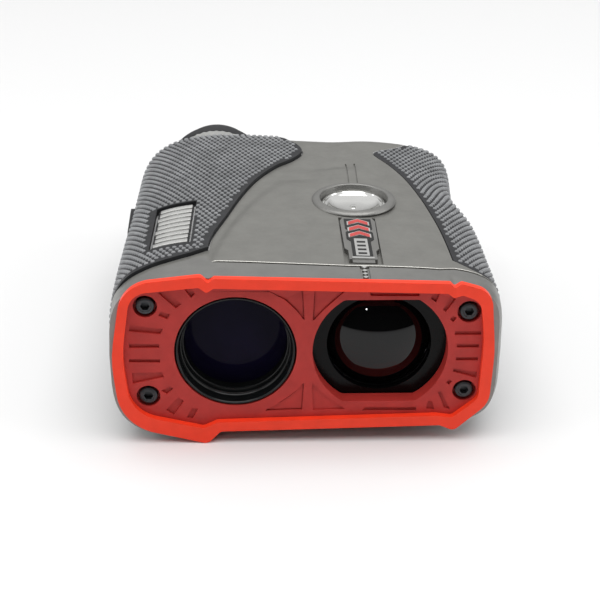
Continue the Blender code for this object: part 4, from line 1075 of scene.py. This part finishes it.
for k in range(-3, 4):
    m = Matrix.Translation(Vector((-39.5, FIRE_Y + k * 1.9, Z_MID)) * MM) @ Matrix.Diagonal((0.5 * MM, 0.75 * MM, 5.6 * MM, 1))
    bmesh.ops.create_cube(ridges, size=1.0, matrix=m)
ridge = to_object("power_key_ridges", ridges, RUBBER, None)
soften(ridge, 0.18, 2, 40)
put(ridge, "soft_rubber", "power_button")

# ------------------------------------------------------------- nameplates
def emblem():
    """Bracket-shaped generic badge: dark field, bright border, red chevrons and a small bar."""
    parts = []

    def z(x, y, h):
        return surface_z(x, y) + relief(x, y) + h

    def slab(name, outline, low, high, mat):
        bm = bmesh.new()
        top = [bm.verts.new(Vector((x, y, z(x, y, high))) * MM) for x, y in outline]
        bot = [bm.verts.new(Vector((x, y, z(x, y, low))) * MM) for x, y in outline]
        bm.faces.new(top)
        bm.faces.new(bot[::-1])
        for i in range(len(outline)):
            j = (i + 1) % len(outline)
            bm.faces.new((bot[i], bot[j], top[j], top[i]))
        return to_object(name, bm, mat, None)

    c = 11.65
    frame_shape = [(-2.3, -45.1), (2.3, -45.1), (2.3, -43.4), (2.9, -43.4), (2.9, -39.2), (3.6, -38.0), (3.8, -23.8), (3.2, -22.0),
                   (-3.2, -22.0), (-3.8, -23.8), (-3.6, -38.0), (-2.9, -39.2), (-2.9, -43.4), (-2.3, -43.4)]
    parts.append(slab("badge_base", [(c + x, y) for x, y in frame_shape], -0.85, 0.16, GUN_DARK))
    field = [(-2.1, -43.0), (2.1, -43.0), (2.1, -34.6), (2.9, -33.4), (2.9, -30.0), (2.3, -29.0), (2.9, -28.0), (2.9, -22.8),
             (-2.9, -22.8), (-2.9, -28.0), (-2.3, -29.0), (-2.9, -30.0), (-2.9, -33.4), (-2.1, -34.6)]
    parts.append(slab("badge_field", [(c + x, y) for x, y in field], 0.0, 0.24, BLACK_GLOSS))
    parts.append(slab("badge_bar", [(c - 2.3, -43.4), (c + 2.3, -43.4), (c + 2.3, -42.6), (c - 2.3, -42.6)], 0.1, 0.40, CHROME))
    block = [(-1.4, -42.0), (1.4, -42.0), (1.4, -33.4), (-1.4, -33.4)]
    parts.append(slab("badge_block", [(c + x, y) for x, y in block], 0.1, 0.34, CHROME))
    for k in range(4):
        y0 = -41.2 + k * 1.9
        parts.append(slab(f"badge_slot_{k}", [(c - 0.9, y0), (c + 0.9, y0), (c + 0.9, y0 + 0.8), (c - 0.9, y0 + 0.8)], 0.2, 0.37, BLACK))
    for k in range(3):
        y0 = -32.6 + k * 3.2
        chev = [(-2.1, y0), (0.0, y0 + 1.5), (2.1, y0), (2.1, y0 + 1.5), (0.0, y0 + 3.0), (-2.1, y0 + 1.5)]
        big = [(-2.4, y0 - 0.25), (0.0, y0 + 1.25), (2.4, y0 - 0.25), (2.4, y0 + 1.65), (0.0, y0 + 3.25), (-2.4, y0 + 1.65)]
        parts.append(slab(f"badge_chevron_{k}", [(c + x, y) for x, y in big], 0.1, 0.33, SILVER))
        parts.append(slab(f"badge_chevron_red_{k}", [(c + x, y) for x, y in chev], 0.2, 0.38, ENAMEL))
    return parts


badge = emblem()
for part in badge:
    put(part, "chrome")
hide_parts("side_plate")


def plate_edges(s):
    return (-32.3 + (s + 34) * 0.035, -24.5 + (s + 34) * 0.035)


strip = ribbon("grip_plate_base", plate_edges, spread(-34.3, -13.1, 14), 0.02, -0.5, 6, BLACK)
put(strip, "black_plastic", "chassis", "grip_plate")
for k in range(9):
    y0 = -33.6 + k * 2.28
    a, b = plate_edges(y0)
    long = b - a - (0.5 if k % 3 else 0.2)
    bar = ribbon(f"grip_plate_bar_{k + 1}", lambda s, b=b, long=long: (b - long, b - 0.25), spread(y0, y0 + 1.75, 3), 0.42, -0.1, 10, SILVER)
    soften(bar, 0.1, 2, 50)
    put(bar, "steel")

# ---------------------------------------------------------------- eyepiece
def fluted(name, r0, r1, y0, y1, inner, n, mat, centre):
    bm = bmesh.new()
    count = n * 8
    rows = []
    for y, grow_by in ((y0, -0.35), (y0 + 0.35, 0), (y1 - 0.35, 0), (y1, -0.35)):
        rows.append([bm.verts.new(Vector((centre[0] + (r0 + grow_by + (r1 - r0) * (0.5 + 0.5 * math.cos(2 * math.pi * k / 8))) * math.cos(2 * math.pi * k / count), y,
                                          centre[1] + (r0 + grow_by + (r1 - r0) * (0.5 + 0.5 * math.cos(2 * math.pi * k / 8))) * math.sin(2 * math.pi * k / count))) * MM)
                     for k in range(count)])
    for y in (y1, y0):
        rows.append([bm.verts.new(Vector((centre[0] + inner * math.cos(2 * math.pi * k / count), y,
                                          centre[1] + inner * math.sin(2 * math.pi * k / count))) * MM) for k in range(count)])
    for a, b in list(zip(rows, rows[1:])) + [(rows[-1], rows[0])]:
        for k in range(count):
            j = (k + 1) % count
            bm.faces.new((a[k], a[j], b[j], b[k]))
    return to_object(name, bm, mat, 35)


put(fluted("focus_ring", 12.7, 12.85, 36.6, 42.9, 11.6, 48, RING_GREY, (EYE_X, AXIS_Z)), "gunmetal", "diopter", "diopter_ring")
cup = turned("eye_cup", [
    (8.6, 53.7), (8.8, 53.95), (9.2, 54.0), (9.8, 53.9), (10.3, 53.6), (10.7, 53.0), (11.1, 51.0), (11.7, 48.5), (12.3, 47.0),
    (12.85, 46.2), (13.05, 45.7), (13.1, 45.0), (13.05, 44.1), (12.8, 43.4), (12.6, 43.2), (11.6, 43.2), (11.6, 45.4), (9.4, 45.4),
    (8.9, 47.5), (8.4, 50.0), (8.3, 52.0)], (EYE_X, 0, AXIS_Z), RUBBER, steps=128, smooth=50)
put(cup, "soft_rubber", "diopter", "eyecup")
# eyepiece glass coloured with the painted violet reflection
eye = turned("eye_glass", [(0, 42.6), (2, 42.54), (4, 42.36), (6, 42.0), (8.0, 41.45), (9.7, 40.8), (9.7, 37.4), (0, 36.6)],
             (EYE_X, 0, AXIS_Z), LENS_VIOLET_REFLECTION, steps=112, smooth=40)
put(eye, "coated_glass", "diopter", "eye_lens")

# ----------------------------------------------------------------- battery
rear_y = 33.8
cap = turned("cap", [
    (0, rear_y + 3.2), (8.9, rear_y + 3.2), (9.6, rear_y + 3.15), (10.1, rear_y + 2.85), (CAP_R, rear_y + 2.3), (CAP_R, rear_y + 0.6),
    (CAP_R - 0.1, rear_y + 0.5), (9.3, rear_y + 0.5), (9.3, 31.2), (8.6, 31.2), (8.6, 30.0), (9.3, 30.0), (9.3, 28.9), (7.6, 28.9),
    (7.6, 30.4), (0, 30.4)], (BAT_X, 0, BAT_Z), BLACK, steps=160, smooth=35)
room = plate("tab_room", [[(BAT_X + 8.1 * math.cos(a), BAT_Z + max(-1.7, 8.1 * math.sin(a)))
                           for a in spread(math.radians(-12.1), math.radians(192.1), 60)]], 5, facing_front(rear_y + 0.7))
cut(cap, room, drop=True)
shade(cap, 35)
put(cap, "black_plastic", "battery_cap", "battery_cap")
flutes = bmesh.new()
for k in range(36):
    a = 2 * math.pi * (k + 0.5) / 36
    m = (Matrix.Translation(Vector((BAT_X + 10.32 * math.cos(a), rear_y + 1.5, BAT_Z + 10.32 * math.sin(a))) * MM)
         @ Matrix.Rotation(-a, 4, "Y") @ Matrix.Diagonal((0.4 * MM, 1.5 * MM, 0.8 * MM, 1)))
    bmesh.ops.create_cube(flutes, size=1.0, matrix=m)
put(to_object("cap_flutes", flutes, BLACK, None), "black_plastic", "battery_cap")
TAB_Y = rear_y + 2.25
tab = plate("tab", [[(BAT_X + 7.6 * math.cos(a), BAT_Z + max(0.0, 7.6 * math.sin(a))) for a in spread(0, math.pi, 64)]],
            1.3, facing_front(TAB_Y - 0.65), BLACK, bevel=0.25, segments=3)
put(tab, "black_plastic", "battery_cap_tab", "battery_cap_tab")
knuckle = turned("tab_knuckle", [(0, 6.0), (1.0, 6.0), (1.2, 5.8), (1.2, -5.8), (1.0, -6.0), (0, -6.0)], (BAT_X, TAB_Y, BAT_Z), BLACK,
                 axis="X", steps=48)
put(knuckle, "black_plastic", "battery_cap_tab")
cell = turned("cell", [(0, 28.5), (3.0, 28.5), (3.2, 28.3), (3.2, 27.9), (6.9, 27.9), (7.5, 27.6), (7.8, 27.2), (7.8, 2.0), (7.5, 1.7),
                       (7.2, 1.6), (0, 1.6)], (BAT_X, 0, BAT_Z), CELL, steps=96, smooth=35)
put(cell, "cell_wrap", "battery", "battery")

remove(seam_cut, grip_cut, pocket_cut, *pockets, cavity, eye_bore, eye_room, battery_bore, battery_room, mode_bore, eye_boss,
       battery_boss, fire_hole, side_pocket, plate_pocket, *grooves, plate_room, behind, trim_slot)

# -------------------------------------------------- carried-over CAD nodes
KEEP = {"front_frame": BLACK, "prism_holder": BLACK, "display_frame": BLACK, "optical_chassis": BLACK, "eyepiece_barrel": BLACK,
        "receiver_cone": BLACK, "processor_chip": BLACK_GLOSS, "battery_tube": BLACK, "lens_retainer": BLACK_GLOSS,
        "lens_spacer": BLACK_GLOSS, "prism_block": CLEAR, "display_panel": CLEAR, "field_lens": CLEAR, "photodiode_can": STEEL,
        "mode_switch": STEEL, "fire_switch": STEEL, "vibration_motor": STEEL, "battery_spring": STEEL, "battery_cap_tab_pin": STEEL,
        "laser_module": BRASS, "battery_cap_contact": BRASS, "mode_dome": RUBBER, "battery_cap_seal": RUBBER,
        "detector_board": BOARD, "main_board": BOARD, "fire_switch_board": BOARD}
for node, look in KEEP.items():
    mesh = frame["nodes"][node].data
    mesh.materials.clear()
    mesh.materials.append(look.mat if isinstance(look, Nodes) else look)

for obj in bpy.data.objects:
    if obj.type == "MESH":
        for i, m in enumerate(obj.data.materials):
            if isinstance(m, Nodes):
                obj.data.materials[i] = m.mat

# ------------------------------------------------------------------- stage
floor_mat = Nodes("stage_floor", (0.76, 0.76, 0.76), 0.85)
floor_mat.color(floor_mat.noise(2.0, 2), 0.01)
bm = bmesh.new()
bmesh.ops.create_grid(bm, x_segments=8, y_segments=8, size=6.0)
floor = to_object("stage_floor", bm, floor_mat.mat, None)
floor.location.z = -0.00005


def area(name, at, target, size, power, size_y=None, color=(1, 1, 1)):
    data = bpy.data.lights.new(name, "AREA")
    data.shape = "RECTANGLE"
    data.size = size
    data.size_y = size_y or size
    data.energy = power
    data.color = color
    obj = bpy.data.objects.new(name, data)
    obj.location = at
    obj.rotation_mode = "QUATERNION"
    obj.rotation_quaternion = (Vector(target) - Vector(at)).to_track_quat("-Z", "Y")
    COLLECTION.objects.link(obj)
    return obj


area("key_overhead", (0.0, -0.15, 0.85), (0, 0, 0), 1.0, 6.6, 0.9)
area("left_wall", (-0.9, -0.15, 0.45), (0, 0, 0.02), 0.7, 2.2)
area("right_wall", (0.9, -0.15, 0.45), (0, 0, 0.02), 0.7, 2.5)
area("spot_sparkle", (-0.24, -0.75, 0.52), (0.015, -0.05, 0.02), 0.03, 0.25)

world = bpy.data.worlds.new("studio")
bpy.context.scene.world = world
world.use_nodes = True
tree = world.node_tree
coord = tree.nodes.new("ShaderNodeTexCoord")
parts_of = tree.nodes.new("ShaderNodeSeparateXYZ")
tree.links.new(coord.outputs["Generated"], parts_of.inputs[0])
add = tree.nodes.new("ShaderNodeMath")
add.operation = "ADD"
front = tree.nodes.new("ShaderNodeMath")
front.operation = "MINIMUM"
front.inputs[1].default_value = 0.0
tree.links.new(parts_of.outputs["Y"], front.inputs[0])
tree.links.new(front.outputs[0], add.inputs[0])
tree.links.new(parts_of.outputs["Z"], add.inputs[1])
level = tree.nodes.new("ShaderNodeMapRange")
for key, number in (("From Min", -0.12), ("From Max", 0.55), ("To Min", 0.03), ("To Max", 0.80)):
    level.inputs[key].default_value = number
tree.links.new(add.outputs[0], level.inputs["Value"])
background = tree.nodes["Background"]
background.inputs["Color"].default_value = (1, 1, 1, 1)
tree.links.new(level.outputs["Result"], background.inputs["Strength"])

cam_data = bpy.data.cameras.new("camera")
cam_data.sensor_width = 36
cam_data.lens = 95.4
cam_data.clip_start, cam_data.clip_end = 0.01, 20
cam = bpy.data.objects.new("camera", cam_data)
COLLECTION.objects.link(cam)
RIGHT = Vector((0.999337, -0.034720, 0.010952))
UP = Vector((0.005573, 0.443172, 0.896420))
AHEAD = Vector((0.035978, 0.895764, -0.443071))
rows = [[RIGHT[i], UP[i], -AHEAD[i], p] for i, p in enumerate((-0.013166, -0.338528, 0.173868))]
cam.matrix_world = Matrix(rows + [[0, 0, 0, 1]])
bpy.context.scene.camera = cam

bpy.context.scene.view_settings.view_transform = "Standard"
bpy.context.view_layer.update()
